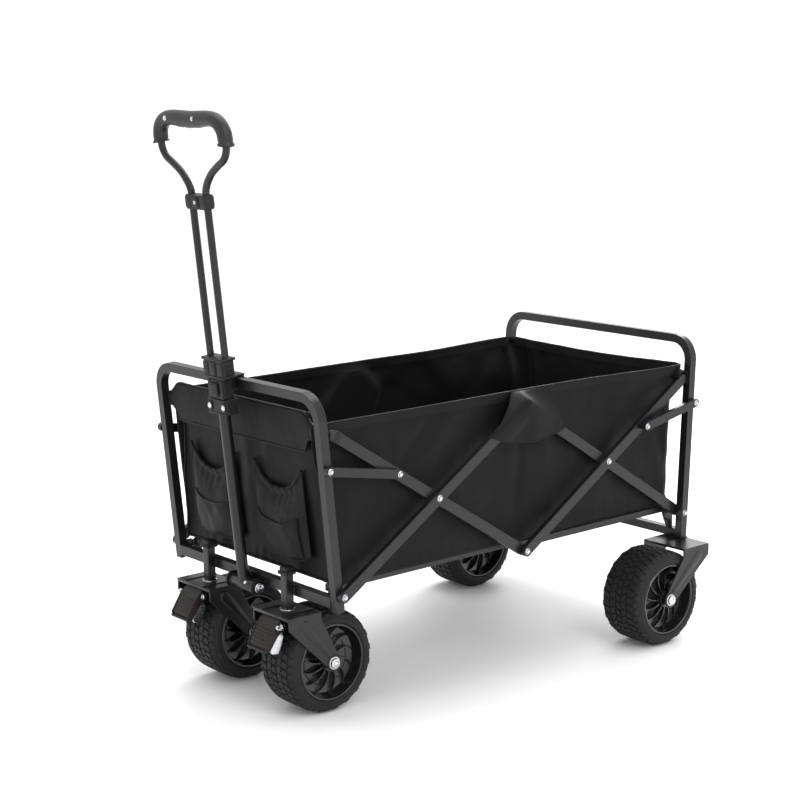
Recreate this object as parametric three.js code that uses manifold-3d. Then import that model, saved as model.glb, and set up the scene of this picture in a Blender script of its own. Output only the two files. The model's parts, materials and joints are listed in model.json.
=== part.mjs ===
// Folding camp wagon, millimetres, +Z up, front (handle end) towards -X, Y is the symmetry axis.
import * as THREE from "three";
import { mergeVertices } from "three/addons/utils/BufferGeometryUtils.js";
import Module from "manifold-3d";

const wasm = await Module();
wasm.setup();

// ---- where the wagon stands in the part frame ----
const FRONT_PIVOT_X = -375.5;
const GAP = 0.3;

// ---- scissor sides ----
const PIVOT_Z = 234;
const HALF_SPAN = 425;
const RISE = 270;
const BAR_ANGLE = Math.atan2(RISE, HALF_SPAN);
const BAR_LENGTH = Math.hypot(HALF_SPAN, RISE);
const BAR_WIDE = 19;
const BAR_THICK = 10;
const OUTER_LANE = 247;
const INNER_LANE = 236;
const REAR_LINK_LANE = 263.5;
const REAR_LINK_THICK = 8;
const TOP_OVERRUN_B = 10;
const TOP_OVERRUN_C = 3;
const LINK_SHARE = 0.29;
const LINK_POST_X = 26;
const LINK_REAR_X = 16;
const LINK_POST_Z = 219;
const LINK_WIDE = 16;
const RIVET_R = 5;
const RIVET_HIGH = 2.4;
const BOSS_R = 7;

// ---- end hoops ----
const TUBE = 16;
const HOOP_BEND_R = 48;
const FRONT_HALF = 241;
const REAR_HALF = 258;
const HOOP_TOP = 583;
const FRONT_FOOT_Z = 205;
const REAR_FOOT_Z = 184;
const FRONT_POST_X = -3;
const FRONT_LEAN = THREE.MathUtils.degToRad(5.5);
const REAR_LEAN = THREE.MathUtils.degToRad(3);
const BEND_STEPS = 8;
const HOLE_SIDES = 20;

// ---- lower crossbars ----
const FRONT_BAR_Z = [212, 230];
const REAR_BAR_Z = [184, 200];
const STEM_SIDE = 17;
const STEM_X = -19.5;
const STEM_Y = 117;
const STEM_Z = [190, 250];
const CAP_HIGH = 12;
const STEM_ROUND = 2.5;
const CAP_GROW = 3;
const CHEEK_Y = [34, 38];
const CHEEK_R = 14;
const CHEEK_BACK_X = -10.5;
const LUG_THICK = 3;
const LUG_REACH = 8;
const LUG_TOP_Z = 243;

// ---- folding floor frames ----
const FLOOR_PIVOT_Z = 237.5;
const FLOOR_TUBE = 12;
const FLOOR_FRONT_X = 14;
const FLOOR_REAR_X = 836;
const FLOOR_FRONT_LANE = 194;
const FLOOR_REAR_LANE = 211;

// ---- pull handle, s runs up the pole from its pivot ----
const HANDLE_X = -26;
const HANDLE_Z = 210;
const HANDLE_LEAN = THREE.MathUtils.degToRad(6);
const POLE_R = 10;
const POLE_S = [-4, 402];
const BARREL_R = 11.5;
const BARREL_HALF = 33.5;
const ROD_R = 5.8;
const ROD_Y = 21.5;
const ROD_FOOT_S = 377;
const COLLAR_S = [313, 339];
const LOCK_S = [339.3, 374.7];
const SLEEVE_S = [375, 411];
const CLIP_S = [666, 690];
const GRIP_R = 12;
const BOLT_R = 4;
const BOLT_HEAD_R = 9;
const BOLT_HEAD_HIGH = 6.5;
const BUTTON_FACE = [-16.5, -13.8];
const BUTTON_S = [346, 368];
const COLLAR_RIVET_R = 3.2;
const COLLAR_RIVET_S = 326;

// ---- wheels ----
const WHEEL_R = 90;
const WHEEL_WIDE = 94;
const RIM_R = 68;
const FRONT_WHEEL_X = 40;
const FRONT_WHEEL_Y = STEM_Y;
const REAR_WHEEL_X = 748;
const REAR_WHEEL_Y = 262;
const FORK_PLATE = 4;
const FORK_HALF = 52;
const LEG_THICK = 3.5;
const FRONT_FORK_TOP_Z = 188;
const REAR_FORK_TOP_Z = REAR_FOOT_Z - 1;
const AXLE_R = 5;
const SPOKES = 10;

// ---- bag ----
const CLOTH = 2.5;
const BAG_HALF = 222;
const BAG_FLOOR_Z = 244;
const BAG_RIM_Z = 525;
const FRONT_WALL_TOP_Z = 545;
const FLAP_LANE = 257;
const FRONT_FLAP_HALF = 203;
const FRONT_FLAP_FOOT_Z = 480;
const POCKET_HALF = 76;
const POCKET_Y = 106;
const POCKET_Z = [272, 446];
const POCKET_THICK = 7;
const REAR_WALL_LEAN = 13;
// the flap over the bars' apex: distance from mid length, and height
const APEX_FLAP_LOW = [
  [-89, 458],
  [-62, 447],
  [-15, 439],
  [23, 436],
  [53, 440],
  [100, 446],
];
const APEX_FLAP_TOP = [-13, 80];

const meshes = [];

function add(name, geometry, color, roughness, metalness) {
  geometry.translate(FRONT_PIVOT_X, 0, 0);
  const material = new THREE.MeshStandardMaterial({ color, roughness, metalness });
  const mesh = new THREE.Mesh(geometry, material);
  mesh.name = name;
  meshes.push(mesh);
}

const FRAME = [0x4b4b4e, 0.45, 0.6];
const ZINC = [0xb8babd, 0.3, 0.9];
const PLASTIC = [0x2c2c2e, 0.6, 0];
const PEDAL = [0x3c3230, 0.6, 0];
const RUBBER = [0x2a2a2b, 0.9, 0];
const HUB = [0x141415, 0.35, 0];
const FABRIC = [0x1c1d20, 0.95, 0];

// ---- boolean helpers ----
function solid(geometry) {
  const bare = geometry.clone();
  bare.deleteAttribute("normal");
  bare.deleteAttribute("uv");
  const welded = mergeVertices(bare, 1e-4);
  return new wasm.Manifold(
    new wasm.Mesh({
      numProp: 3,
      vertProperties: new Float32Array(welded.attributes.position.array),
      triVerts: new Uint32Array(welded.index.array),
    })
  );
}

function surface(manifold) {
  const mesh = manifold.getMesh();
  const geometry = new THREE.BufferGeometry();
  geometry.setAttribute("position", new THREE.BufferAttribute(new Float32Array(mesh.vertProperties), 3));
  geometry.setIndex(new THREE.BufferAttribute(new Uint32Array(mesh.triVerts), 1));
  geometry.computeVertexNormals();
  return geometry;
}

function fuse(...geometries) {
  return surface(geometries.map(solid).reduce((a, b) => a.add(b)));
}

function cut(geometry, ...tools) {
  return surface(tools.map(solid).reduce((a, b) => a.subtract(b), solid(geometry)));
}

// ---- shape helpers ----
function box([x0, x1], [y0, y1], [z0, z1]) {
  const geometry = new THREE.BoxGeometry(x1 - x0, y1 - y0, z1 - z0);
  geometry.translate((x0 + x1) / 2, (y0 + y1) / 2, (z0 + z1) / 2);
  return geometry;
}

function span(side, near, far) {
  return side > 0 ? [near, far] : [-far, -near];
}

function rodY(x, z, radius, [y0, y1], sides = 16) {
  const geometry = new THREE.CylinderGeometry(radius, radius, y1 - y0, sides);
  geometry.translate(x, (y0 + y1) / 2, z);
  return geometry;
}

function rodZ(x, y, radius, [z0, z1], sides = 24) {
  const geometry = new THREE.CylinderGeometry(radius, radius, z1 - z0, sides);
  geometry.rotateX(Math.PI / 2);
  geometry.translate(x, y, (z0 + z1) / 2);
  return geometry;
}

function extrudeFlat(shape, depth, curveSegments = 10) {
  return new THREE.ExtrudeGeometry(shape, { depth, bevelEnabled: false, curveSegments });
}

// a profile drawn in X and Z, given its thickness along Y
function slabXZ(shape, [y0, y1], curveSegments) {
  const geometry = extrudeFlat(shape, y1 - y0, curveSegments);
  geometry.rotateX(Math.PI / 2);
  geometry.translate(0, y1, 0);
  return geometry;
}

// a profile drawn in Y and Z, given its thickness along X
function slabYZ(shape, [x0, x1], curveSegments) {
  const geometry = extrudeFlat(shape, x1 - x0, curveSegments);
  const turn = new THREE.Matrix4().set(0, 0, 1, x0, 1, 0, 0, 0, 0, 1, 0, 0, 0, 0, 0, 1);
  geometry.applyMatrix4(turn);
  return geometry;
}

// a profile drawn in X and Y, given its height along Z
function slabXY(shape, [z0, z1], curveSegments) {
  const geometry = extrudeFlat(shape, z1 - z0, curveSegments);
  geometry.translate(0, 0, z0);
  return geometry;
}

function polygon(points) {
  return new THREE.Shape(points.map(([x, y]) => new THREE.Vector2(x, y)));
}

function roundBox(wide, high, radius) {
  const shape = new THREE.Shape();
  const w = wide / 2;
  const h = high / 2;
  shape.moveTo(-w + radius, -h);
  shape.lineTo(w - radius, -h);
  shape.absarc(w - radius, -h + radius, radius, -Math.PI / 2, 0);
  shape.lineTo(w, h - radius);
  shape.absarc(w - radius, h - radius, radius, 0, Math.PI / 2);
  shape.lineTo(-w + radius, h);
  shape.absarc(-w + radius, h - radius, radius, Math.PI / 2, Math.PI);
  shape.lineTo(-w, -h + radius);
  shape.absarc(-w + radius, -h + radius, radius, Math.PI, 1.5 * Math.PI);
  return shape;
}

function ring(radius, sides, x0 = 0, y0 = 0) {
  const corners = Array.from({ length: sides }, (_, i) => {
    const a = (i * 2 * Math.PI) / sides;
    return [x0 + radius * Math.cos(a), y0 + radius * Math.sin(a)];
  });
  return polygon(corners);
}

function holed(shape, holes) {
  for (const [x, y, r] of holes) shape.holes.push(new THREE.Path(ring(r, HOLE_SIDES, x, y).getPoints().reverse()));
  return shape;
}

function turnY(geometry, x, z, angle) {
  geometry.translate(-x, 0, -z);
  geometry.rotateY(angle);
  geometry.translate(x, 0, z);
  return geometry;
}

const leanFront = (geometry) => turnY(geometry, 0, PIVOT_Z, -FRONT_LEAN);
const leanRear = (geometry) => turnY(geometry, 2 * HALF_SPAN, PIVOT_Z, REAR_LEAN);

// ---- hoops: square tube bent over the top, drawn flat and given its depth ----
function hoop(half, foot, x) {
  const shape = new THREE.Shape();
  const inner = half - TUBE;
  const bend = HOOP_BEND_R - TUBE;
  shape.moveTo(-half, foot);
  shape.lineTo(-inner, foot);
  shape.lineTo(-inner, HOOP_TOP - HOOP_BEND_R);
  shape.absarc(-half + HOOP_BEND_R, HOOP_TOP - HOOP_BEND_R, bend, Math.PI, Math.PI / 2, true);
  shape.lineTo(half - HOOP_BEND_R, HOOP_TOP - TUBE);
  shape.absarc(half - HOOP_BEND_R, HOOP_TOP - HOOP_BEND_R, bend, Math.PI / 2, 0, true);
  shape.lineTo(inner, foot);
  shape.lineTo(half, foot);
  shape.lineTo(half, HOOP_TOP - HOOP_BEND_R);
  shape.absarc(half - HOOP_BEND_R, HOOP_TOP - HOOP_BEND_R, HOOP_BEND_R, 0, Math.PI / 2);
  shape.lineTo(-half + HOOP_BEND_R, HOOP_TOP);
  shape.absarc(-half + HOOP_BEND_R, HOOP_TOP - HOOP_BEND_R, HOOP_BEND_R, Math.PI / 2, Math.PI);
  return slabYZ(shape, [x - TUBE / 2, x + TUBE / 2], BEND_STEPS);
}

add("front_hoop", leanFront(hoop(FRONT_HALF, FRONT_FOOT_Z, FRONT_POST_X)), ...FRAME);
const rearRivets = [-1, 1].map((side) =>
  rodY(2 * HALF_SPAN, PIVOT_Z, RIVET_R, span(side, REAR_HALF - 1, REAR_HALF + RIVET_HIGH))
);
const rearHoop = leanRear(hoop(REAR_HALF, REAR_FOOT_Z, 2 * HALF_SPAN));
add("rear_hoop", fuse(rearHoop, ...rearRivets), ...FRAME);

// ---- front crossbar with the caster stems, the handle channel and the floor lugs welded on ----
const crossX = [FRONT_POST_X - TUBE / 2, FRONT_POST_X + TUBE / 2];
const crossHalf = FRONT_HALF - TUBE - GAP;
const frontPieces = [box(crossX, [-crossHalf, crossHalf], FRONT_BAR_Z)];
for (const side of [-1, 1]) {
  const stem = roundBox(STEM_SIDE, STEM_SIDE, STEM_ROUND);
  const tube = slabXY(stem, STEM_Z, 3);
  tube.translate(STEM_X, side * STEM_Y, 0);
  frontPieces.push(tube);
  const cheekY = span(side, ...CHEEK_Y);
  frontPieces.push(rodY(HANDLE_X, HANDLE_Z, CHEEK_R, cheekY, 24));
  frontPieces.push(box([HANDLE_X, CHEEK_BACK_X], cheekY, [HANDLE_Z - CHEEK_R, HANDLE_Z + CHEEK_R]));
  const near = FLOOR_FRONT_LANE + FLOOR_TUBE / 2 + GAP;
  frontPieces.push(
    box(
      [crossX[1] - 1, FLOOR_FRONT_X + LUG_REACH],
      span(side, near, near + LUG_THICK),
      [FRONT_BAR_Z[0] + 2, LUG_TOP_Z]
    )
  );
}
const boltHole = rodY(HANDLE_X, HANDLE_Z, BOLT_R + GAP, [-CHEEK_Y[1] - 5, CHEEK_Y[1] + 5]);
add("front_crossbar", cut(fuse(...frontPieces), boltHole), ...FRAME);

for (const side of [-1, 1]) {
  const capShape = roundBox(STEM_SIDE + CAP_GROW, STEM_SIDE + CAP_GROW, STEM_ROUND + CAP_GROW / 2);
  const cap = slabXY(capShape, [STEM_Z[1] + GAP, STEM_Z[1] + CAP_HIGH], 3);
  cap.translate(STEM_X, side * STEM_Y, 0);
  add(side > 0 ? "stem_cap_left" : "stem_cap_right", cap, ...PLASTIC);
}

// ---- rear crossbar with its floor lugs ----
const rearX = [2 * HALF_SPAN - TUBE / 2, 2 * HALF_SPAN + TUBE / 2];
const rearHalf = REAR_HALF - TUBE - GAP;
const rearPieces = [box(rearX, [-rearHalf, rearHalf], REAR_BAR_Z)];
for (const side of [-1, 1]) {
  const near = FLOOR_REAR_LANE + FLOOR_TUBE / 2 + GAP;
  const lug = polygon([
    [FLOOR_REAR_X - LUG_REACH, FLOOR_PIVOT_Z - LUG_REACH],
    [rearX[0], REAR_BAR_Z[1] - 1],
    [rearX[1] - 1, REAR_BAR_Z[1] - 1],
    [rearX[1] - 1, LUG_TOP_Z],
    [FLOOR_REAR_X - LUG_REACH, LUG_TOP_Z],
  ]);
  rearPieces.push(slabXZ(lug, span(side, near, near + LUG_THICK)));
}
add("rear_crossbar", fuse(...rearPieces), ...FRAME);

// ---- scissor bars, drawn lying along +X from their first pivot, then turned and placed ----
function bar(start, end, wide, [y0, y1], overrun, heads) {
  const dx = end[0] - start[0];
  const dz = end[1] - start[1];
  const long = Math.hypot(dx, dz) + overrun;
  const shape = new THREE.Shape();
  const r = wide / 2;
  shape.absarc(0, 0, r, Math.PI / 2, 1.5 * Math.PI);
  shape.absarc(long, 0, r, -Math.PI / 2, Math.PI / 2);
  const flat = slabXZ(shape, [y0, y1], 6);
  const rivets = heads.map(([along, radius, near, far]) => rodY(along, 0, radius, [near, far], 12));
  const whole = rivets.length ? fuse(flat, ...rivets) : flat;
  whole.rotateY(-Math.atan2(dz, dx));
  whole.translate(start[0], 0, start[1]);
  return whole;
}

function lane(side, centre, thick) {
  return span(side, centre - thick / 2, centre + thick / 2);
}

// a rivet head standing out of the outer face of a bar
function head(side, along, outer, radius = RIVET_R, high = RIVET_HIGH) {
  return [along, radius, ...span(side, outer - 1, outer + high)];
}

const top = PIVOT_Z + RISE;
const pivotA = [0, PIVOT_Z];
const apex = [HALF_SPAN, top];
const middle = [HALF_SPAN, PIVOT_Z];
const pivotD = [2 * HALF_SPAN, PIVOT_Z];
const linkB = [2 * HALF_SPAN * 0.5 * LINK_SHARE, PIVOT_Z + RISE * (1 - LINK_SHARE)];
const linkC = [2 * HALF_SPAN - linkB[0], linkB[1]];
const outerFace = OUTER_LANE + BAR_THICK / 2;
const linkFace = REAR_LINK_LANE + REAR_LINK_THICK / 2;

for (const side of [-1, 1]) {
  const hand = side > 0 ? "left" : "right";
  const outer = lane(side, OUTER_LANE, BAR_THICK);
  const inner = lane(side, INNER_LANE, BAR_THICK);
  const rear = lane(side, REAR_LINK_LANE, REAR_LINK_THICK);
  const aHeads = [0, BAR_LENGTH / 2, BAR_LENGTH].map((at) => head(side, at, outerFace));
  add(`bar_a_${hand}`, bar(pivotA, apex, BAR_WIDE, outer, 0, aHeads), ...FRAME);
  add(`bar_b_${hand}`, bar(middle, [0, top], BAR_WIDE, inner, TOP_OVERRUN_B, []), ...FRAME);
  const cHeads = [0, BAR_LENGTH / 2].map((at) => head(side, at, outerFace));
  const rearTop = [2 * HALF_SPAN, top];
  add(`bar_c_${hand}`, bar(middle, rearTop, BAR_WIDE, outer, TOP_OVERRUN_C - BAR_WIDE / 2, cHeads), ...FRAME);
  add(`bar_d_${hand}`, bar(pivotD, apex, BAR_WIDE, inner, 0, []), ...FRAME);
  const postF = [-LINK_POST_X, PIVOT_Z + LINK_POST_Z];
  const postR = [2 * HALF_SPAN + LINK_REAR_X, PIVOT_Z + LINK_POST_Z];
  const frontLong = Math.hypot(linkB[0] - postF[0], linkB[1] - postF[1]);
  const rearLong = Math.hypot(linkC[0] - postR[0], linkC[1] - postR[1]);
  const fHeads = [0, frontLong].map((at) => head(side, at, outerFace, RIVET_R - 0.5));
  add(`link_front_${hand}`, bar(postF, linkB, LINK_WIDE, outer, 0, fHeads), ...FRAME);
  const rHeads = [0, rearLong].map((at) => head(side, at, linkFace, RIVET_R - 0.5));
  rHeads.push([rearLong, BOSS_R, ...span(side, outerFace + GAP, linkFace - 1)]);
  add(`link_rear_${hand}`, bar(postR, linkC, LINK_WIDE, rear, 0, rHeads), ...FRAME);
}

// ---- floor frames: square tube rails with one cross tube each ----
const floorZ = [FLOOR_PIVOT_Z - FLOOR_TUBE / 2, FLOOR_PIVOT_Z + FLOOR_TUBE / 2];
const frontLaneIn = FLOOR_FRONT_LANE - FLOOR_TUBE / 2;
const frontLaneOut = FLOOR_FRONT_LANE + FLOOR_TUBE / 2;
const frontRails = [-1, 1].map((side) =>
  box([FLOOR_FRONT_X - 6, HALF_SPAN - GAP], span(side, frontLaneIn, frontLaneOut), floorZ)
);
const frontCross = box([HALF_SPAN - FLOOR_TUBE, HALF_SPAN - GAP], [-frontLaneIn - 1, frontLaneIn + 1], floorZ);
add("floor_frame_front", fuse(...frontRails, frontCross), ...FRAME);
const rearLaneIn = FLOOR_REAR_LANE - FLOOR_TUBE / 2;
const rearLaneOut = FLOOR_REAR_LANE + FLOOR_TUBE / 2;
const rearRails = [-1, 1].map((side) =>
  box([HALF_SPAN + GAP, FLOOR_REAR_X + 6], span(side, rearLaneIn, rearLaneOut), floorZ)
);
const rearCross = box([FLOOR_REAR_X - 6, FLOOR_REAR_X + 6], [-rearLaneIn - 1, rearLaneIn + 1], floorZ);
add("floor_frame_rear", fuse(...rearRails, rearCross), ...FRAME);

// ---- wheels ----
// a closed profile of [radius, distance along the axle], turned about the axle
function turned(profile, x, y, z, steps) {
  const points = profile.map(([r, along]) => new THREE.Vector2(r, along));
  points.push(points[0].clone());
  const geometry = new THREE.LatheGeometry(points, steps);
  geometry.translate(x, y, z);
  return geometry;
}

function tyre(x, y) {
  const w = WHEEL_WIDE / 2;
  const R = WHEEL_R;
  const side = [
    [RIM_R + GAP, w - 9],
    [RIM_R + 2.5, w - 3],
    [RIM_R + 7, w],
    [R - 11, w],
    [R - 4, w - 4],
    [R - 1, w - 12],
    [R, w - 26],
  ];
  const mirrored = side.map(([r, along]) => [r, -along]);
  return turned([...mirrored, ...side.reverse()], x, y, WHEEL_R, 40);
}

function rim(x, y) {
  const w = WHEEL_WIDE / 2 - 5;
  const barrel = turned(
    [
      [RIM_R - 4, -w],
      [RIM_R, -w],
      [RIM_R, w],
      [RIM_R - 4, w],
      [RIM_R - 7, w - 12],
      [RIM_R - 9, 5],
      [18, 3],
      [15, w],
      [AXLE_R + GAP, w],
      [AXLE_R + GAP, -w],
      [15, -w],
      [18, -3],
      [RIM_R - 9, -5],
      [RIM_R - 7, -w + 12],
    ],
    0,
    0,
    0,
    32
  );
  const spokes = [];
  for (let i = 0; i < SPOKES; i++) {
    const spoke = box([14, RIM_R - 5], [-24, 24], [-1.6, 1.6]);
    spoke.rotateY((i * 2 * Math.PI) / SPOKES);
    spokes.push(spoke);
  }
  const whole = fuse(barrel, ...spokes);
  whole.translate(x, y, WHEEL_R);
  return whole;
}

// ---- forks: a top plate and two slanted legs, with the axle hole through both ----
function fork(wheelX, wheelY, plateX, steer, topZ) {
  const [front, back] = plateX;
  const away = steer > 0 ? front : back;
  const near = steer > 0 ? back : front;
  const leg = new THREE.Shape();
  const low = topZ - 22;
  leg.moveTo(away, topZ);
  leg.lineTo(away, low);
  leg.lineTo(wheelX - steer * 13, WHEEL_R - 6);
  leg.lineTo(wheelX - steer * 7, WHEEL_R - 13);
  leg.lineTo(wheelX + steer * 6, WHEEL_R - 13);
  leg.lineTo(wheelX + steer * 13, WHEEL_R - 4);
  leg.lineTo(wheelX + steer * 13, WHEEL_R + 6);
  leg.lineTo(near, topZ - 14);
  leg.lineTo(near, topZ);
  const plateY = [wheelY - FORK_HALF, wheelY + FORK_HALF];
  const pieces = [
    box([front, back], plateY, [topZ - FORK_PLATE, topZ]),
    slabXZ(leg, [plateY[0], plateY[0] + LEG_THICK]),
    slabXZ(leg, [plateY[1] - LEG_THICK, plateY[1]]),
  ];
  return { pieces, hole: rodY(wheelX, WHEEL_R, AXLE_R + GAP, [wheelY - 70, wheelY + 70]) };
}

function axle(x, y) {
  const out = FORK_HALF + GAP;
  return fuse(
    rodY(x, WHEEL_R, AXLE_R, [y - out - 1, y + out + 1], 16),
    rodY(x, WHEEL_R, 9, [y - out - 5, y - out], 6),
    rodY(x, WHEEL_R, 9, [y + out, y + out + 5], 6)
  );
}

const FRONT_PLATE_X = [-55, 14];
const REAR_PLATE_X = [786, 857];
for (const side of [-1, 1]) {
  const hand = side > 0 ? "left" : "right";
  const y = side * FRONT_WHEEL_Y;
  const front = fork(FRONT_WHEEL_X, y, FRONT_PLATE_X, 1, FRONT_FORK_TOP_Z);
  const washer = rodZ(STEM_X, y, 12, [FRONT_FORK_TOP_Z - 1, STEM_Z[0] - GAP]);
  add(`caster_fork_${hand}`, cut(fuse(...front.pieces, washer), front.hole), ...FRAME);
  add(`front_axle_${hand}`, axle(FRONT_WHEEL_X, y), ...ZINC);
  add(`front_tyre_${hand}`, tyre(FRONT_WHEEL_X, y), ...RUBBER);
  add(`front_rim_${hand}`, rim(FRONT_WHEEL_X, y), ...HUB);

  const ry = side * REAR_WHEEL_Y;
  const rear = fork(REAR_WHEEL_X, ry, REAR_PLATE_X, -1, REAR_FORK_TOP_Z);
  add(`rear_fork_${hand}`, cut(fuse(...rear.pieces), rear.hole), ...FRAME);
  add(`rear_axle_${hand}`, axle(REAR_WHEEL_X, ry), ...ZINC);
  add(`rear_tyre_${hand}`, tyre(REAR_WHEEL_X, ry), ...RUBBER);
  add(`rear_rim_${hand}`, rim(REAR_WHEEL_X, ry), ...HUB);
}

// ---- brake: a foot pedal over a steel bar that bears on the tyre ----
const PEDAL_HALF = 24;
const SHOE_HALF = 21;
const PEDAL_SIDE = [
  [-45, 175],
  [-53, 181.5],
  [-58, 177],
  [-67, 168],
  [-85, 139],
  [-84, 131],
  [-77, 129.5],
  [-62, 155],
  [-47, 166],
];
const SHOE_SIDE = [
  [-75.5, 129],
  [-61.3, 154.3],
  [-46.4, 165.2],
  [-44.5, 158],
  [-50, 138],
  [-58, 121],
  [-70, 124],
];
for (const side of [-1, 1]) {
  const hand = side > 0 ? "left" : "right";
  const y = side * STEM_Y;
  const pedal = slabXZ(polygon(PEDAL_SIDE), [y - PEDAL_HALF, y + PEDAL_HALF]);
  const shoe = slabXZ(polygon(SHOE_SIDE), [y - SHOE_HALF, y + SHOE_HALF]);
  add(`brake_pedal_${hand}`, pedal, ...PEDAL);
  add(`brake_bar_${hand}`, shoe, ...ZINC);
}

// ---- handle: drawn upright with its pivot at the origin, then leaned and placed ----
function onPole(geometry) {
  geometry.rotateY(-HANDLE_LEAN);
  geometry.translate(HANDLE_X, 0, HANDLE_Z);
  return geometry;
}

// the pole's foot is a short barrel that turns on the bolt between the two cheeks
const pole = rodZ(0, 0, POLE_R, POLE_S, 28);
const barrel = rodY(0, 0, BARREL_R, [-BARREL_HALF, BARREL_HALF], 28);
const poleHole = rodY(0, 0, BOLT_R + GAP, [-BARREL_HALF - 1, BARREL_HALF + 1]);
add("lower_pole", onPole(cut(fuse(pole, barrel), poleHole)), ...FRAME);

const boltEnd = CHEEK_Y[1] + BOLT_HEAD_HIGH;
const boltEnds = [
  rodY(HANDLE_X, HANDLE_Z, BOLT_R, [-boltEnd, boltEnd], 16),
  rodY(HANDLE_X, HANDLE_Z, BOLT_HEAD_R, [-boltEnd, -CHEEK_Y[1] - GAP], 6),
  rodY(HANDLE_X, HANDLE_Z, BOLT_HEAD_R, [CHEEK_Y[1] + GAP, boltEnd], 6),
];
add("handle_bolt", fuse(...boltEnds), ...ZINC);

const poleBore = [0, 0, POLE_R + GAP];
const collarRivets = [-1, 1].map((side) => {
  const rivet = new THREE.CylinderGeometry(COLLAR_RIVET_R, COLLAR_RIVET_R, 4, 12);
  rivet.rotateZ(Math.PI / 2);
  rivet.translate(-13, side * 20, COLLAR_RIVET_S);
  return rivet;
});
const collar = slabXY(holed(roundBox(25, 52, 5), [poleBore]), COLLAR_S, 6);
add("handle_collar", onPole(fuse(collar, ...collarRivets)), ...PLASTIC);
add("lock_block", onPole(slabXY(holed(roundBox(23, 42, 4), [poleBore]), LOCK_S, 6)), ...PLASTIC);
const rodBores = [-1, 1].map((side) => [0, side * ROD_Y, ROD_R + GAP]);
add("rod_sleeve", onPole(slabXY(holed(roundBox(26, 60, 6), [poleBore, ...rodBores]), SLEEVE_S, 6)), ...PLASTIC);
add("rod_clip", onPole(slabXY(holed(roundBox(19, 60, 6), rodBores), CLIP_S, 6)), ...PLASTIC);
add("release_button", onPole(box(BUTTON_FACE, [-10, 10], BUTTON_S)), ...PLASTIC);

// the two rods run up, spread into a loop and meet over the top
const LOOP_PEAK = 816;
const LOOP_TOP = [
  [95, 779],
  [92, 797],
  [81, 810],
  [64, LOOP_PEAK],
];
const LOOP = [
  [ROD_Y, ROD_FOOT_S],
  [ROD_Y, 520],
  [ROD_Y, 640],
  [ROD_Y, 692],
  [ROD_Y + 1, 698],
  [29, 710],
  [44, 726],
  [64, 739],
  [84, 751],
  [93, 764],
  ...LOOP_TOP,
];
const loopPoints = [
  ...LOOP.map(([y, s]) => new THREE.Vector3(0, -y, s)),
  new THREE.Vector3(0, 0, LOOP_PEAK),
  ...LOOP.map(([y, s]) => new THREE.Vector3(0, y, s)).reverse(),
];

function along(points, shape, steps) {
  const path = new THREE.CatmullRomCurve3(points, false, "centripetal");
  return new THREE.ExtrudeGeometry(shape, { steps, extrudePath: path, bevelEnabled: false });
}

add("handle_rods", onPole(along(loopPoints, ring(ROD_R, 10), 84)), ...FRAME);

const gripPath = [
  ...LOOP_TOP.map(([y, s]) => new THREE.Vector3(0, -y, s)),
  new THREE.Vector3(0, 0, LOOP_PEAK),
  ...LOOP_TOP.map(([y, s]) => new THREE.Vector3(0, y, s)).reverse(),
];
const gripSection = holed(ring(GRIP_R, 14), [[0, 0, ROD_R + 1.4]]);
add("grip", onPole(along(gripPath, gripSection, 24)), ...PLASTIC);

// ---- clip on the front hoop's top tube that the handle rests against ----
const barZ = HOOP_TOP - TUBE / 2;
const clipBody = box([FRONT_POST_X - 12, FRONT_POST_X + 12], [-13, 13], [barZ - 12, barZ + 12]);
const tongue = box([FRONT_POST_X - 14, FRONT_POST_X - 10], [-9, 9], [barZ - 30, barZ + 4]);
const half = TUBE / 2 + GAP;
const tubeSpace = box([FRONT_POST_X - half, FRONT_POST_X + half], [-20, 20], [barZ - half, barZ + half]);
add("pole_clip", leanFront(cut(fuse(clipBody, tongue), tubeSpace)), ...PLASTIC);

// ---- bag panels ----
const FRONT_WALL_X = 9;
const FRONT_WALL_SLOPE = 0.1;
const WALL_FOOT_Z = BAG_FLOOR_Z + CLOTH + 1;
const wallHalf = BAG_HALF - CLOTH - 0.5;

// a panel that leans forward with height, ahead of the front wall's face by `ahead`
function frontPanel(halfWide, centreY, [z0, z1], ahead, thick) {
  const xAt = (z) => FRONT_WALL_X - FRONT_WALL_SLOPE * (z - WALL_FOOT_Z) - ahead;
  const shape = polygon([
    [xAt(z0) - thick, z0],
    [xAt(z0), z0],
    [xAt(z1), z1],
    [xAt(z1) - thick, z1],
  ]);
  return slabXZ(shape, [centreY - halfWide, centreY + halfWide]);
}

add("bag_front_wall", frontPanel(wallHalf, 0, [WALL_FOOT_Z, FRONT_WALL_TOP_Z], 0, CLOTH), ...FABRIC);
add("front_flap", frontPanel(FRONT_FLAP_HALF, 0, [FRONT_FLAP_FOOT_Z, FRONT_WALL_TOP_Z], CLOTH + GAP, CLOTH), ...FABRIC);
for (const side of [-1, 1]) {
  const pocket = frontPanel(POCKET_HALF, side * POCKET_Y, POCKET_Z, CLOTH + GAP, POCKET_THICK);
  add(side > 0 ? "pocket_left" : "pocket_right", pocket, ...FABRIC);
}

const REAR_WALL_X = 842;
const rearWall = polygon([
  [REAR_WALL_X, WALL_FOOT_Z],
  [REAR_WALL_X + CLOTH, WALL_FOOT_Z],
  [REAR_WALL_X + CLOTH + REAR_WALL_LEAN, BAG_RIM_Z],
  [REAR_WALL_X + REAR_WALL_LEAN, BAG_RIM_Z],
]);
add("bag_rear_wall", slabXZ(rearWall, [-wallHalf, wallHalf]), ...FABRIC);

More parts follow.
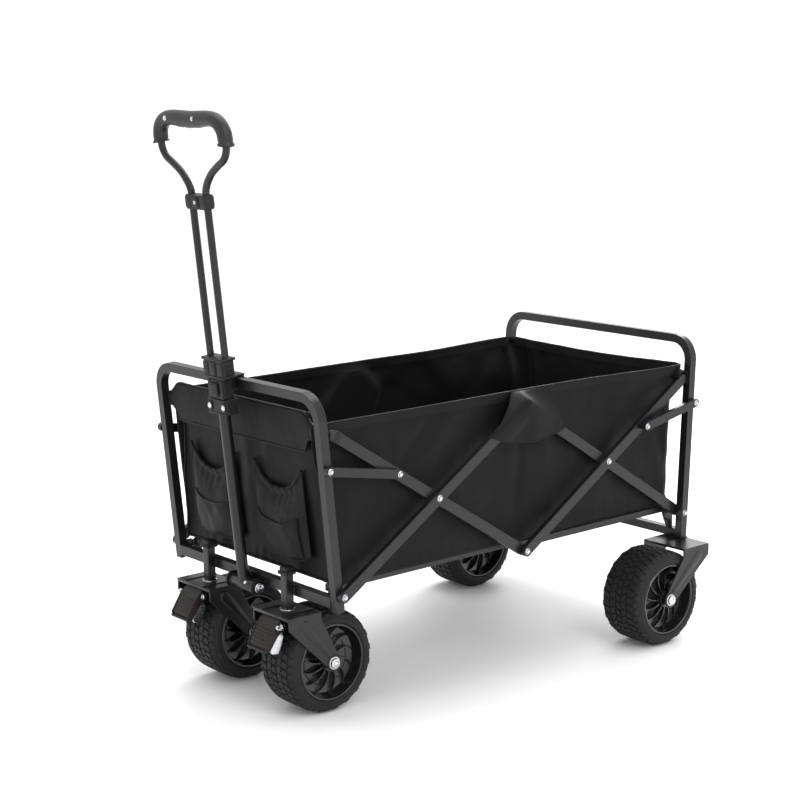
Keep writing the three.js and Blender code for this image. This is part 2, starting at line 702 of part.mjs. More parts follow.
for (const side of [-1, 1]) {
  const wall = polygon([
    [FRONT_WALL_X - 2, WALL_FOOT_Z],
    [REAR_WALL_X + CLOTH, WALL_FOOT_Z],
    [REAR_WALL_X + CLOTH + REAR_WALL_LEAN, BAG_RIM_Z],
    [FRONT_WALL_X - FRONT_WALL_SLOPE * (BAG_RIM_Z - WALL_FOOT_Z) - 2, BAG_RIM_Z],
  ]);
  const bridge = APEX_FLAP_TOP.map((off) => HALF_SPAN + off);
  const flap = polygon([
    ...APEX_FLAP_LOW.map(([off, z]) => [HALF_SPAN + off, z]),
    [bridge[1], BAG_RIM_Z],
    [bridge[0], BAG_RIM_Z],
  ]);
  const whole = fuse(
    slabXZ(wall, span(side, BAG_HALF - CLOTH, BAG_HALF)),
    slabXZ(flap, span(side, FLAP_LANE - CLOTH / 2, FLAP_LANE + CLOTH / 2)),
    box(bridge, span(side, BAG_HALF - CLOTH, FLAP_LANE + CLOTH / 2), [BAG_RIM_Z - CLOTH, BAG_RIM_Z])
  );
  add(side > 0 ? "bag_side_left" : "bag_side_right", whole, ...FABRIC);
}

const floorY = [-BAG_HALF, BAG_HALF];
const floorHeight = [BAG_FLOOR_Z, BAG_FLOOR_Z + CLOTH];
add("bag_floor_front", box([FRONT_WALL_X - 2, HALF_SPAN - GAP], floorY, floorHeight), ...FABRIC);
add("bag_floor_rear", box([HALF_SPAN + GAP, REAR_WALL_X + CLOTH], floorY, floorHeight), ...FABRIC);

const wagon = new THREE.Group();
wagon.name = "folding_camp_wagon";
wagon.add(...meshes);
export default wagon;
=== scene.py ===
import json
import math

import bmesh
import bpy
from mathutils import Matrix, Vector, noise


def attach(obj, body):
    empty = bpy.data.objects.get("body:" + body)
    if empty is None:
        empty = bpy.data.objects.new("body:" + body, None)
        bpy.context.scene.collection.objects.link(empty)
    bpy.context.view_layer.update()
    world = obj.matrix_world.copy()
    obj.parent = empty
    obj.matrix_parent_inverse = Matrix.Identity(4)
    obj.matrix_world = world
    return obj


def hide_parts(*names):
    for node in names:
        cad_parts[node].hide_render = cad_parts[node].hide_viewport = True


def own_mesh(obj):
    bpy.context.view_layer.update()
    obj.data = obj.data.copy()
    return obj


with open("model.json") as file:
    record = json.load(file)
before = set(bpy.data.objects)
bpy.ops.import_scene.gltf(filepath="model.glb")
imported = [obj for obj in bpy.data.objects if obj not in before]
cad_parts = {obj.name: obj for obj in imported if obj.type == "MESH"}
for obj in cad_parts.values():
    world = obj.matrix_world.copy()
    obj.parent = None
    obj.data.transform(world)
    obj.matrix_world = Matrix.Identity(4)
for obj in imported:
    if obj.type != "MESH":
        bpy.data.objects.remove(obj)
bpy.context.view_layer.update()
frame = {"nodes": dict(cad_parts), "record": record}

# Lengths are in millimetres, with x from the front lower pivot. SHIFT_X takes them to the part's frame.
SHIFT_X = -0.3755
PIVOT_Z = 234.0
HALF_SPAN = 425.0
RISE = 270.0
OUTER_FACE = 252.0
LINK_FACE = 267.5
WHEEL_R = 90.0
FLOOR_PIVOT_Z = 237.5
FRONT_WHEEL_X = 40.0
REAR_WHEEL_X = 748.0
FRONT_WHEEL_Y = 117.0
REAR_WHEEL_Y = 262.0
FORK_HALF = 52.0
BAG_OUT = 219.0
BAG_FOOT_Z = 248.5
BAG_RIM_Z = 525.0
HANDS = (("left", 1), ("right", -1))


def row_point(p):
    return Vector((p[0] / 1000 + SHIFT_X, p[1] / 1000, p[2] / 1000))


# ---------------- camera, light and floor
def make_camera():
    az, el, roll = (math.radians(d) for d in (-40.41, 10.85, -0.49))
    back = Vector((math.sin(az) * math.cos(el), -math.cos(az) * math.cos(el), math.sin(el)))
    level = Vector((math.cos(az), math.sin(az), 0))
    up = back.cross(level)
    right = math.cos(roll) * level + math.sin(roll) * up
    top = math.cos(roll) * up - math.sin(roll) * level
    data = bpy.data.cameras.new("camera")
    data.lens = 81.0
    data.sensor_width = 36.0
    camera = bpy.data.objects.new("camera", data)
    bpy.context.scene.collection.objects.link(camera)
    turn = Matrix((right, top, back)).transposed().to_4x4()
    camera.matrix_world = Matrix.Translation((-2.1718, -2.5068, 1.1213)) @ turn
    data.clip_end = 60
    bpy.context.scene.camera = camera


def area_light(name, place, target, side, power):
    data = bpy.data.lights.new(name, "AREA")
    data.shape = "SQUARE"
    data.size = side
    data.energy = power
    light = bpy.data.objects.new(name, data)
    light.location = place
    light.rotation_euler = (Vector(target) - Vector(place)).to_track_quat("-Z", "Y").to_euler()
    bpy.context.scene.collection.objects.link(light)


make_camera()

world = bpy.data.worlds.new("studio")
world.use_nodes = True
background = world.node_tree.nodes["Background"]
background.inputs["Color"].default_value = (1, 1, 1, 1)
background.inputs["Strength"].default_value = 1.12
bpy.context.scene.world = world
bpy.context.scene.view_settings.view_transform = "Standard"

area_light("key", (-0.6, -3.6, 2.8), (0, 0, 0.35), 2.2, 52)
area_light("top", (0.3, 0.3, 3.6), (0, 0, 0.3), 2.6, 60)
area_light("rim", (2.8, 1.6, 2.2), (0, 0, 0.5), 1.6, 45)


# ---------------- materials
def nodes_of(name):
    material = bpy.data.materials.new(name)
    material.use_nodes = True
    tree = material.node_tree
    return material, tree, tree.nodes["Principled BSDF"]


def link(tree, a, b):
    tree.links.new(a, b)


def put(node, **values):
    """Constants on a node's sockets. An underscore stands for a space in the socket's name."""
    for name, value in values.items():
        node.inputs[name.replace("_", " ")].default_value = value


def noise_node(tree, coords, scale, detail):
    n = tree.nodes.new("ShaderNodeTexNoise")
    put(n, Scale=scale, Detail=detail)
    link(tree, coords, n.inputs["Vector"])
    return n.outputs["Fac"]


def ramp(tree, source, low, high, at=(0.35, 0.65)):
    r = tree.nodes.new("ShaderNodeValToRGB")
    for stop, place, colour in zip(r.color_ramp.elements, at, (low, high)):
        stop.position = place
        stop.color = (*colour, 1)
    link(tree, source, r.inputs["Fac"])
    return r.outputs["Color"]


def span_of(tree, source, low, high):
    m = tree.nodes.new("ShaderNodeMapRange")
    put(m, To_Min=low, To_Max=high)
    link(tree, source, m.inputs["Value"])
    return m.outputs["Result"]


def bump(tree, height, distance, strength, normal=None):
    b = tree.nodes.new("ShaderNodeBump")
    put(b, Distance=distance, Strength=strength)
    link(tree, height, b.inputs["Height"])
    if normal is not None:
        link(tree, normal, b.inputs["Normal"])
    return b.outputs["Normal"]


def rounded(tree, radius):
    b = tree.nodes.new("ShaderNodeBevel")
    b.samples = 4
    put(b, Radius=radius)
    return b.outputs["Normal"]


def surface_material(name, colour, rough, edge, grain, depth, spread, metallic=0.0, coat=0.0, specular=0.5):
    """A moulded, cast or coated surface: fine grain in relief, uneven gloss and softly rounded edges."""
    material, tree, shader = nodes_of(name)
    coords = tree.nodes.new("ShaderNodeTexCoord").outputs["Object"]
    fine = noise_node(tree, coords, grain, 3)
    broad = noise_node(tree, coords, 14, 4)
    low = tuple(c * (1 - spread) for c in colour)
    high = tuple(c * (1 + spread) for c in colour)
    link(tree, ramp(tree, broad, low, high), shader.inputs["Base Color"])
    link(tree, span_of(tree, broad, rough * 0.85, rough * 1.15), shader.inputs["Roughness"])
    put(shader, Metallic=metallic, Coat_Weight=coat, Specular_IOR_Level=specular)
    start = rounded(tree, edge) if edge else None
    link(tree, bump(tree, fine, depth, 0.5, start), shader.inputs["Normal"])
    return material


def weave_height(tree, coords, pitch):
    """Threads along all three axes, added up."""
    total = None
    for direction in ("X", "Y", "Z"):
        w = tree.nodes.new("ShaderNodeTexWave")
        w.bands_direction = direction
        put(w, Scale=0.314 / pitch, Distortion=0.4)
        link(tree, coords, w.inputs["Vector"])
        if total is None:
            total = w.outputs["Fac"]
            continue
        both = tree.nodes.new("ShaderNodeMath")
        both.operation = "ADD"
        link(tree, total, both.inputs[0])
        link(tree, w.outputs["Fac"], both.inputs[1])
        total = both.outputs[0]
    return total


def cloth_material(name, colour, pitch=0.0011, crease=0.0032, rough=0.5, sheen=0.03):
    """Woven polyester: threads both ways, small creases, and a faint sheen."""
    material, tree, shader = nodes_of(name)
    coords = tree.nodes.new("ShaderNodeTexCoord").outputs["Object"]
    stretch = tree.nodes.new("ShaderNodeMapping")
    put(stretch, Scale=(1.0, 1.0, 0.55))
    link(tree, coords, stretch.inputs["Vector"])
    soft = noise_node(tree, stretch.outputs["Vector"], 16, 4)
    broad = noise_node(tree, coords, 5, 3)
    low = tuple(c * 0.8 for c in colour)
    high = tuple(c * 1.25 for c in colour)
    link(tree, ramp(tree, broad, low, high, (0.3, 0.7)), shader.inputs["Base Color"])
    link(tree, span_of(tree, soft, rough - 0.08, rough + 0.08), shader.inputs["Roughness"])
    put(shader, Sheen_Weight=sheen, Sheen_Roughness=0.45, Specular_IOR_Level=0.13)
    creased = bump(tree, soft, crease, 0.8)
    woven = bump(tree, weave_height(tree, coords, pitch), 0.00012, 0.35, creased)
    link(tree, woven, shader.inputs["Normal"])
    return material


def net_material(name, colour, shaded_hole):
    """Knitted net: round holes between threads, with the holes painted as the cloth behind in painted shade.
    """
    material, tree, shader = nodes_of(name)
    coords = tree.nodes.new("ShaderNodeTexCoord").outputs["Object"]
    cells = tree.nodes.new("ShaderNodeTexVoronoi")
    put(cells, Scale=330, Randomness=0.15)
    link(tree, coords, cells.inputs["Vector"])
    # The holes get the painted shade colour: the cloth behind the net, darkened as shade inside the pocket.
    link(tree, ramp(tree, cells.outputs["Distance"], shaded_hole, colour, (0.32, 0.5)), shader.inputs["Base Color"])
    soft = noise_node(tree, coords, 22, 4)
    link(tree, span_of(tree, soft, 0.55, 0.8), shader.inputs["Roughness"])
    put(shader, Sheen_Weight=0.04, Specular_IOR_Level=0.2)
    creased = bump(tree, soft, 0.0025, 0.7)
    link(tree, bump(tree, cells.outputs["Distance"], 0.0006, 0.8, creased), shader.inputs["Normal"])
    return material


FRAME = surface_material("satin_frame", (0.0068, 0.0068, 0.0082), 0.34, 0.0016, 1400, 0.00006, 0.06,
                         coat=0.05, specular=0.4)
ZINC = surface_material("bright_zinc", (0.62, 0.63, 0.65), 0.22, 0.0012, 500, 0.00008, 0.1, metallic=1.0)
PLASTIC = surface_material("black_plastic", (0.0075, 0.0075, 0.0085), 0.48, 0.0014, 1100, 0.00012, 0.12,
                           specular=0.32)
GRIP = surface_material("moulded_grip", (0.010, 0.010, 0.011), 0.45, 0.003, 1600, 0.0002, 0.12, specular=0.45)
PEDAL = surface_material("brown_black_plastic", (0.0105, 0.0072, 0.0068), 0.52, 0.0014, 900, 0.00015, 0.15,
                         specular=0.3)
TYRE = surface_material("tyre_rubber", (0.0105, 0.0105, 0.011), 0.6, 0.0012, 700, 0.00025, 0.2, specular=0.24)
HUB = surface_material("gloss_hub", (0.008, 0.008, 0.009), 0.2, 0.0012, 300, 0.00005, 0.15, coat=0.3)
CLOTH = cloth_material("oxford_cloth", (0.0036, 0.0036, 0.0043))
LINING = cloth_material("bound_edge", (0.0048, 0.0048, 0.0056), 0.0016, 0.0008, 0.5, 0.05)
# The last colour is the net's holes: painted shade, darker than the cloth behind.
NET = net_material("pocket_net", (0.0065, 0.0065, 0.0075), (0.0015, 0.0015, 0.0017))
FLOOR = surface_material("studio_floor", (0.95, 0.95, 0.95), 0.7, 0, 40, 0.0001, 0.01)

SLOT_OF = {
    "frame": FRAME, "zinc": ZINC, "plastic": PLASTIC, "grip": GRIP, "pedal": PEDAL,
    "tyre": TYRE, "hub": HUB, "cloth": CLOTH, "mesh": NET,
}
slot_by_node = {s["node"]: s["material_slot"] for s in frame["record"]["subparts"]}
for node_name, node in frame["nodes"].items():
    node.data.materials.clear()
    node.data.materials.append(SLOT_OF[slot_by_node[node_name]])


# ---------------- mesh helpers
class Shape:
    """Vertices and faces gathered from several simple forms, in the millimetre frame."""

    def __init__(self):
        self.v = []
        self.f = []

    def add(self, verts, faces, place=None):
        n = len(self.v)
        moved = [Vector(p) for p in verts]
        if place is not None:
            moved = [place @ p for p in moved]
        self.v += moved
        self.f += [tuple(i + n for i in face) for face in faces]
        return self

    def piece(self, name, body, material, slot, sharp=35):
        mesh = bpy.data.meshes.new(name)
        mesh.from_pydata([row_point(p) for p in self.v], [], self.f)
        bm = bmesh.new()
        bm.from_mesh(mesh)
        bmesh.ops.recalc_face_normals(bm, faces=bm.faces)
        bm.to_mesh(mesh)
        bm.free()
        mesh.polygons.foreach_set("use_smooth", [True] * len(mesh.polygons))
        if sharp:
            mesh.set_sharp_from_angle(angle=math.radians(sharp))
        mesh.materials.append(material)
        made = bpy.data.objects.new(name, mesh)
        bpy.context.scene.collection.objects.link(made)
        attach(made, body)
        return made


def block(x, y, z, bevel=1.0, steps=2):
    bm = bmesh.new()
    bmesh.ops.create_cube(bm, size=1)
    for v in bm.verts:
        v.co = Vector([lo + (hi - lo) * (c + 0.5) for c, (lo, hi) in zip(v.co, (x, y, z))])
    return rounded_form(bm, bevel, steps)


def rounded_form(bm, bevel, steps):
    if bevel:
        bmesh.ops.bevel(bm, geom=list(bm.edges), offset=bevel, segments=steps, affect="EDGES", profile=0.5)
    bm.verts.index_update()
    verts = [v.co.copy() for v in bm.verts]
    faces = [tuple(v.index for v in f.verts) for f in bm.faces]
    bm.free()
    return verts, faces


def prism(points, y, bevel=0.8, steps=1):
    """A profile drawn in x and z, with its thickness along y."""
    bm = bmesh.new()
    base = [bm.verts.new((px, y[0], pz)) for px, pz in points]
    face = bm.faces.new(base)
    out = bmesh.ops.extrude_face_region(bm, geom=[face])
    for v in out["geom"]:
        if isinstance(v, bmesh.types.BMVert):
            v.co.y = y[1]
    bmesh.ops.recalc_face_normals(bm, faces=bm.faces)
    return rounded_form(bm, bevel, steps)


def turned(profile, steps):
    """A profile of (radius, distance along y) turned about the y axis."""
    verts, faces = [], []
    n = len(profile)
    for i in range(steps):
        a = 2 * math.pi * i / steps
        j = (i + 1) % steps
        verts += [(r * math.cos(a), d, r * math.sin(a)) for r, d in profile]
        faces += [(i * n + k, j * n + k, j * n + k + 1, i * n + k + 1) for k in range(n - 1)]
    return verts, faces


def at(x, y, z, side=1):
    """Placement for forms turned about y, mirrored when side is -1."""
    return Matrix.Translation((x, y, z)) @ Matrix.Diagonal((1, side, 1, 1))


def tube(points, radius, sides=16, squash=None):
    """A tube along points. squash(index, angle) may scale the radius."""
    pts = [Vector(p) for p in points]
    verts, faces = [], []
    tangent = (pts[1] - pts[0]).normalized()
    across = tangent.orthogonal().normalized()
    for i, p in enumerate(pts):
        ahead = pts[min(i + 1, len(pts) - 1)] - pts[max(i - 1, 0)]
        fresh = ahead.normalized()
        across = (across - fresh * across.dot(fresh)).normalized()
        other = fresh.cross(across)
        for k in range(sides):
            a = 2 * math.pi * k / sides
            r = radius * (squash(i, a) if squash else 1)
            verts.append(p + across * (r * math.cos(a)) + other * (r * math.sin(a)))
    for i in range(len(pts) - 1):
        for k in range(sides):
            m = (k + 1) % sides
            faces.append((i * sides + k, i * sides + m, (i + 1) * sides + m, (i + 1) * sides + k))
    faces.append(tuple(range(sides))[::-1])
    faces.append(tuple((len(pts) - 1) * sides + k for k in range(sides)))
    return verts, faces


def curve_through(points, per):
    """A centripetal Catmull-Rom curve through the points."""
    p = [Vector(q) for q in points]
    p = [2 * p[0] - p[1]] + p + [2 * p[-1] - p[-2]]
    out = []
    for i in range(1, len(p) - 2):
        t = [0.0]
        for a, b in ((p[i - 1], p[i]), (p[i], p[i + 1]), (p[i + 1], p[i + 2])):
            t.append(t[-1] + max((b - a).length, 1e-6) ** 0.5)
        for s in range(per):
            u = t[1] + (t[2] - t[1]) * s / per
            a1 = p[i - 1].lerp(p[i], (u - t[0]) / (t[1] - t[0]))
            a2 = p[i].lerp(p[i + 1], (u - t[1]) / (t[2] - t[1]))
            a3 = p[i + 1].lerp(p[i + 2], (u - t[2]) / (t[3] - t[2]))
            b1 = a1.lerp(a2, (u - t[0]) / (t[2] - t[0]))
            b2 = a2.lerp(a3, (u - t[1]) / (t[3] - t[1]))
            out.append(b1.lerp(b2, (u - t[1]) / (t[2] - t[1])))
    out.append(p[-2])
    return out


def trace(fn, count):
    """Points of fn(t) at equal steps of t from 0 to 1."""
    return [Vector(fn(i / count)) for i in range(count + 1)]


def cloth_grid(nu, nv, fn, thick):
    """Both faces and the edges of a cloth, from its middle surface fn(u, v)."""
    rows = [[Vector(fn(i / nu, j / nv)) for j in range(nv + 1)] for i in range(nu + 1)]
    top, low = [], []
    for i in range(nu + 1):
        for j in range(nv + 1):
            du = rows[min(i + 1, nu)][j] - rows[max(i - 1, 0)][j]
            dv = rows[i][min(j + 1, nv)] - rows[i][max(j - 1, 0)]
            n = du.cross(dv).normalized() * (thick / 2)
            top.append(rows[i][j] + n)
            low.append(rows[i][j] - n)
    w = nv + 1
    off = len(top)
    faces = []
    for i in range(nu):
        for j in range(nv):
            a, b, c, d = i * w + j, (i + 1) * w + j, (i + 1) * w + j + 1, i * w + j + 1
            faces.append((a, b, c, d))
            faces.append((off + d, off + c, off + b, off + a))
    for i in range(nu):
        faces.append((i * w, off + i * w, off + (i + 1) * w, (i + 1) * w))
        a, b = i * w + nv, (i + 1) * w + nv
        faces.append((b, off + b, off + a, a))
    for j in range(nv):
        faces.append((j + 1, off + j + 1, off + j, j))
        a, b = nu * w + j, nu * w + j + 1
        faces.append((a, off + a, off + b, b))
    return top + low, faces


def sheet_piece(name, nu, nv, fn, thick, body="front_frame", material=CLOTH, slot="cloth"):
    """A sheet of cloth as a piece of its own."""
    return Shape().add(*cloth_grid(nu, nv, fn, thick)).piece(name, body, material, slot, 0)


def bound_edge(s, name, body="front_frame"):
    return s.piece(name, body, LINING, "cloth", 50)


def wobble(x, y, z, size, seed):
    return noise.noise(Vector((x / size + seed, y / size - seed, z / size + 2 * seed)))


def bell(t):
    return math.exp(-t * t)


def smooth(t):
    t = min(max(t, 0.0), 1.0)
    return t * t * (3 - 2 * t)


# ---------------- rivets, bolts and screws
RIM_OF_HEAD = 0.7


def dome(radius, high, flange=0.7):
    steps = 5
    profile = [(radius + flange, 0), (radius + flange, 0.5), (radius, RIM_OF_HEAD)]
    for i in range(1, steps + 1):
        a = math.pi / 2 * i / steps
        profile.append((radius * math.cos(a), RIM_OF_HEAD + (high - RIM_OF_HEAD) * math.sin(a)))
    return turned(profile, 24)


def rivets(name, body, spots, radius, high):
    s = Shape()
    for x, y, z, side in spots:
        s.add(*dome(radius, high), at(x, y, z, side))
    return s.piece(name, body, ZINC, "zinc", 50)


LINK_SHARE = 0.29
POST_RIVET_Z = PIVOT_Z + 219
bar_angle = math.atan2(RISE, HALF_SPAN)
link_b = (HALF_SPAN * LINK_SHARE, PIVOT_Z + RISE * (1 - LINK_SHARE))
link_c = (2 * HALF_SPAN - link_b[0], link_b[1])
apex = (HALF_SPAN, PIVOT_Z + RISE)
cross_front = (HALF_SPAN / 2, PIVOT_Z + RISE / 2)
cross_rear = (1.5 * HALF_SPAN, PIVOT_Z + RISE / 2)
RIVETED = (
    ("bar_a", OUTER_FACE, ((0, PIVOT_Z), cross_front, apex), 5.4, 3.3),
    ("bar_c", OUTER_FACE, ((HALF_SPAN, PIVOT_Z), cross_rear), 5.4, 3.3),
    ("link_front", OUTER_FACE, ((-26, POST_RIVET_Z), link_b), 5.0, 3.2),
    ("link_rear", LINK_FACE, ((2 * HALF_SPAN + 16, POST_RIVET_Z), link_c), 5.0, 3.2),
)
for hand, side in HANDS:
    for part, face, places, radius, high in RIVETED:
        spots = [(x, side * face, z, side) for x, z in places]
        rivets(f"rivets_{part}_{hand}", f"{part}_{hand}", spots, radius, high)
rivets("rivets_rear_hoop", "rear_frame", [(2 * HALF_SPAN, s * 258.0, PIVOT_Z, s) for _, s in HANDS], 5.2, 3.2)


# ---------------- wheels
# distance from the tyre's middle, and its radius there
CROWN = ((0, 90), (21, 90), (35, 89), (43, 86), (47, 78))
TREAD_ROWS = ((-34.5, -21.8), (-19.6, -7.2), (-5.4, 5.4), (7.2, 19.6), (21.8, 34.5))
BLOCKS_ROUND = 40
SPOKES_ROUND = 12
SPOKE_STEPS = 8
TYRE_WALL = ((79, 46.9), (77.8, 47.9), (76.2, 47.4), (74, 47.9), (72.6, 48.6), (71, 48.2), (69.8, 47.2),
             (68.6, 45.5))
HUB_LIP = ((68.4, 44), (68.6, 46.6), (67, 47.8), (64.8, 47.4), (63.6, 45), (63.2, 41), (62.4, 36),
           (60.6, 30.4), (59, 26.5), (52, 25), (30, 24.8), (20, 26), (18.6, 30), (18, 38), (16.5, 42.6),
           (9.6, 43.2))
HUB_RING = ((44.5, 24.5), (45, 26.6), (46, 26.6), (46.5, 24.5))


def crown(y):
    """Radius of the tyre at a distance y from its middle."""
    a = abs(y)
    for (y0, r0), (y1, r1) in zip(CROWN, CROWN[1:]):
        if a <= y1:
            return r0 + (r1 - r0) * (a - y0) / (y1 - y0)
    return CROWN[-1][1]


def tread_block(y0, y1, a0, a1, skew, depth):
    """One tread block between two distances along the axle and two angles round it."""
    verts = []
    for lift, inset in ((-0.8, 0.0), (depth, 0.9)):
        for y, a, sy, sa in ((y0, a0, 1, 1), (y1, a0, -1, 1), (y1, a1, -1, -1), (y0, a1, 1, -1)):
            yy = y + sy * inset
            aa = a + sa * inset / WHEEL_R + skew * (y - y0) / (y1 - y0)
            r = crown(yy) + lift
            verts.append((r * math.cos(aa), yy, r * math.sin(aa)))
    faces = [(4, 5, 6, 7), (0, 1, 5, 4), (1, 2, 6, 5), (2, 3, 7, 6), (3, 0, 4, 7)]
    return verts, faces


def tyre_skin(name, body, x, y):
    s = Shape()
    place = at(x, y, WHEEL_R)
    pitch = 2 * math.pi / BLOCKS_ROUND
    for k, (y0, y1) in enumerate(TREAD_ROWS):
        start = (k % 2) * pitch / 2
        lean = pitch * (0.3 if k % 2 else -0.3)
        for i in range(BLOCKS_ROUND):
            a = start + i * pitch
            s.add(*tread_block(y0, y1, a, a + pitch * 0.82, lean, 2.3), place)
    for edge in (1, -1):
        for i in range(BLOCKS_ROUND):
            a = i * pitch + pitch / 4
            y0, y1 = sorted((edge * 36.3, edge * (45.5 if i % 2 else 43.5)))
            s.add(*tread_block(y0, y1, a, a + pitch * 0.8, 0, 1.8), place)
        s.add(*turned([(r, edge * d) for r, d in TYRE_WALL], 72), place)
    return s.piece(name, body, TYRE, "tyre", 40)


def hub_skin(name, body, x, y):
    s = Shape()
    place = at(x, y, WHEEL_R)
    for edge in (1, -1):
        s.add(*turned([(r, edge * d) for r, d in HUB_LIP], 72), place)
        s.add(*turned([(r, edge * d) for r, d in HUB_RING], 60), place)
        for i in range(SPOKES_ROUND):
            a0 = 2 * math.pi * i / SPOKES_ROUND
            verts, faces = [], []
            for k in range(SPOKE_STEPS + 1):
                t = k / SPOKE_STEPS
                r = 18 + 43 * t
                a = a0 + edge * 0.45 * t * t
                tall = 37.5 - 6.5 * t
                half = (1.3 - 0.4 * t) / r
                for aa, d in ((a - half, 24), (a - half, tall), (a + half, tall), (a + half, 24)):
                    verts.append((r * math.cos(aa), edge * d, r * math.sin(aa)))
            for k in range(SPOKE_STEPS):
                faces += [(4 * k + m, 4 * k + m + 1, 4 * k + m + 5, 4 * k + m + 4) for m in range(3)]
            s.add(verts, faces, place)
    return s.piece(name, body, HUB, "hub", 40)


def axle_head(s, x, y, side):
    """Bolt head, washer and threaded end outside a fork leg."""
    s.add(*turned([(11.5, 0), (11.5, 1.0), (10.8, 1.5), (9.3, 1.5)], 36),
          at(x, y + side * 0.2, WHEEL_R, side))
    s.add(*turned([(8.8, 4.6), (8.2, 5.6), (6.6, 6.0), (5.2, 6.0), (4.6, 7.4), (3.2, 8.2), (0.01, 8.4)], 30),
          at(x, y, WHEEL_R, side))


for hand, side in HANDS:
    for end, wx, wy, body in (
        ("front", FRONT_WHEEL_X, side * FRONT_WHEEL_Y, f"caster_{hand}"),
        ("rear", REAR_WHEEL_X, side * REAR_WHEEL_Y, "rear_frame"),
    ):
        tyre_skin(f"tread_{end}_{hand}", f"{end}_wheel_{hand}", wx, wy)
        hub_skin(f"hub_face_{end}_{hand}", f"{end}_wheel_{hand}", wx, wy)
        s = Shape()
        axle_head(s, wx, wy + FORK_HALF, 1)
        axle_head(s, wx, wy - FORK_HALF, -1)
        s.piece(f"axle_heads_{end}_{hand}", body, ZINC, "zinc", 40)


# ---------------- forks, stems and brakes
RIB_HIGH = 1.6
RIB_WIDE = (22, 9)
AXLE_BOSS = ((15.5, 0), (15.2, 0.9), (13.6, 1.2), (12.6, 0.6))


def rib(s, top, foot, y, side):
    """A pressed rib on a fork leg, tapering from top to foot, which are given in x and z."""
    a, b = Vector((top[0], 0, top[1])), Vector((foot[0], 0, foot[1]))
    d = (b - a).normalized()
    n = Vector((-d.z, 0, d.x))
    outline = []
    for centre, w, turn in ((a, RIB_WIDE[0], math.pi / 2), (b, RIB_WIDE[1], -math.pi / 2)):
        for k in range(7):
            t = turn + math.pi * k / 6
            outline.append(centre + (d * math.cos(t) + n * math.sin(t)) * (w / 2))
    count = len(outline)
    verts, faces = [], []
    for lift, share in ((0.0, 1.0), (RIB_HIGH * 0.7, 0.9), (RIB_HIGH, 0.72)):
        for q in outline:
            near = a if (q - a).length < (q - b).length else b
            p = near + (q - near) * share
            verts.append((p.x, y + side * lift, p.z))
    for r in range(2):
        for k in range(count):
            m = (k + 1) % count
            faces.append((r * count + k, r * count + m, (r + 1) * count + m, (r + 1) * count + k))
    faces.append(tuple(2 * count + k for k in range(count)))
    s.add(verts, faces)


def fork_legs(s, wheel_x, wheel_y, top, foot):
    """The rib and the boss round the axle, on both legs of a fork."""
    for leg in (1, -1):
        y = wheel_y + leg * FORK_HALF
        rib(s, top, foot, y, leg)
        s.add(*turned(AXLE_BOSS, 36), at(wheel_x, y, WHEEL_R, leg))


def weld(points, radius=1.3):
    """A rippled weld bead along a line."""
    a, b = (Vector(p) for p in points)
    long = (b - a).length
    n = max(6, int(long / 1.1))
    path = [a.lerp(b, i / n) for i in range(n + 1)]
    return tube(path, radius, 8, lambda i, ang: 0.8 + 0.25 * (i % 2))


PEDAL_CHEEK = ((-46, 174), (-54, 180), (-60, 176), (-69, 167), (-87.5, 138), (-86, 130), (-78, 128.5),
               (-60, 153), (-44, 165))
BRAKE_PLATE = ((-74, 129.6), (-60, 153), (-48, 162), (-46, 150), (-49, 137), (-57, 120.4), (-71, 123))

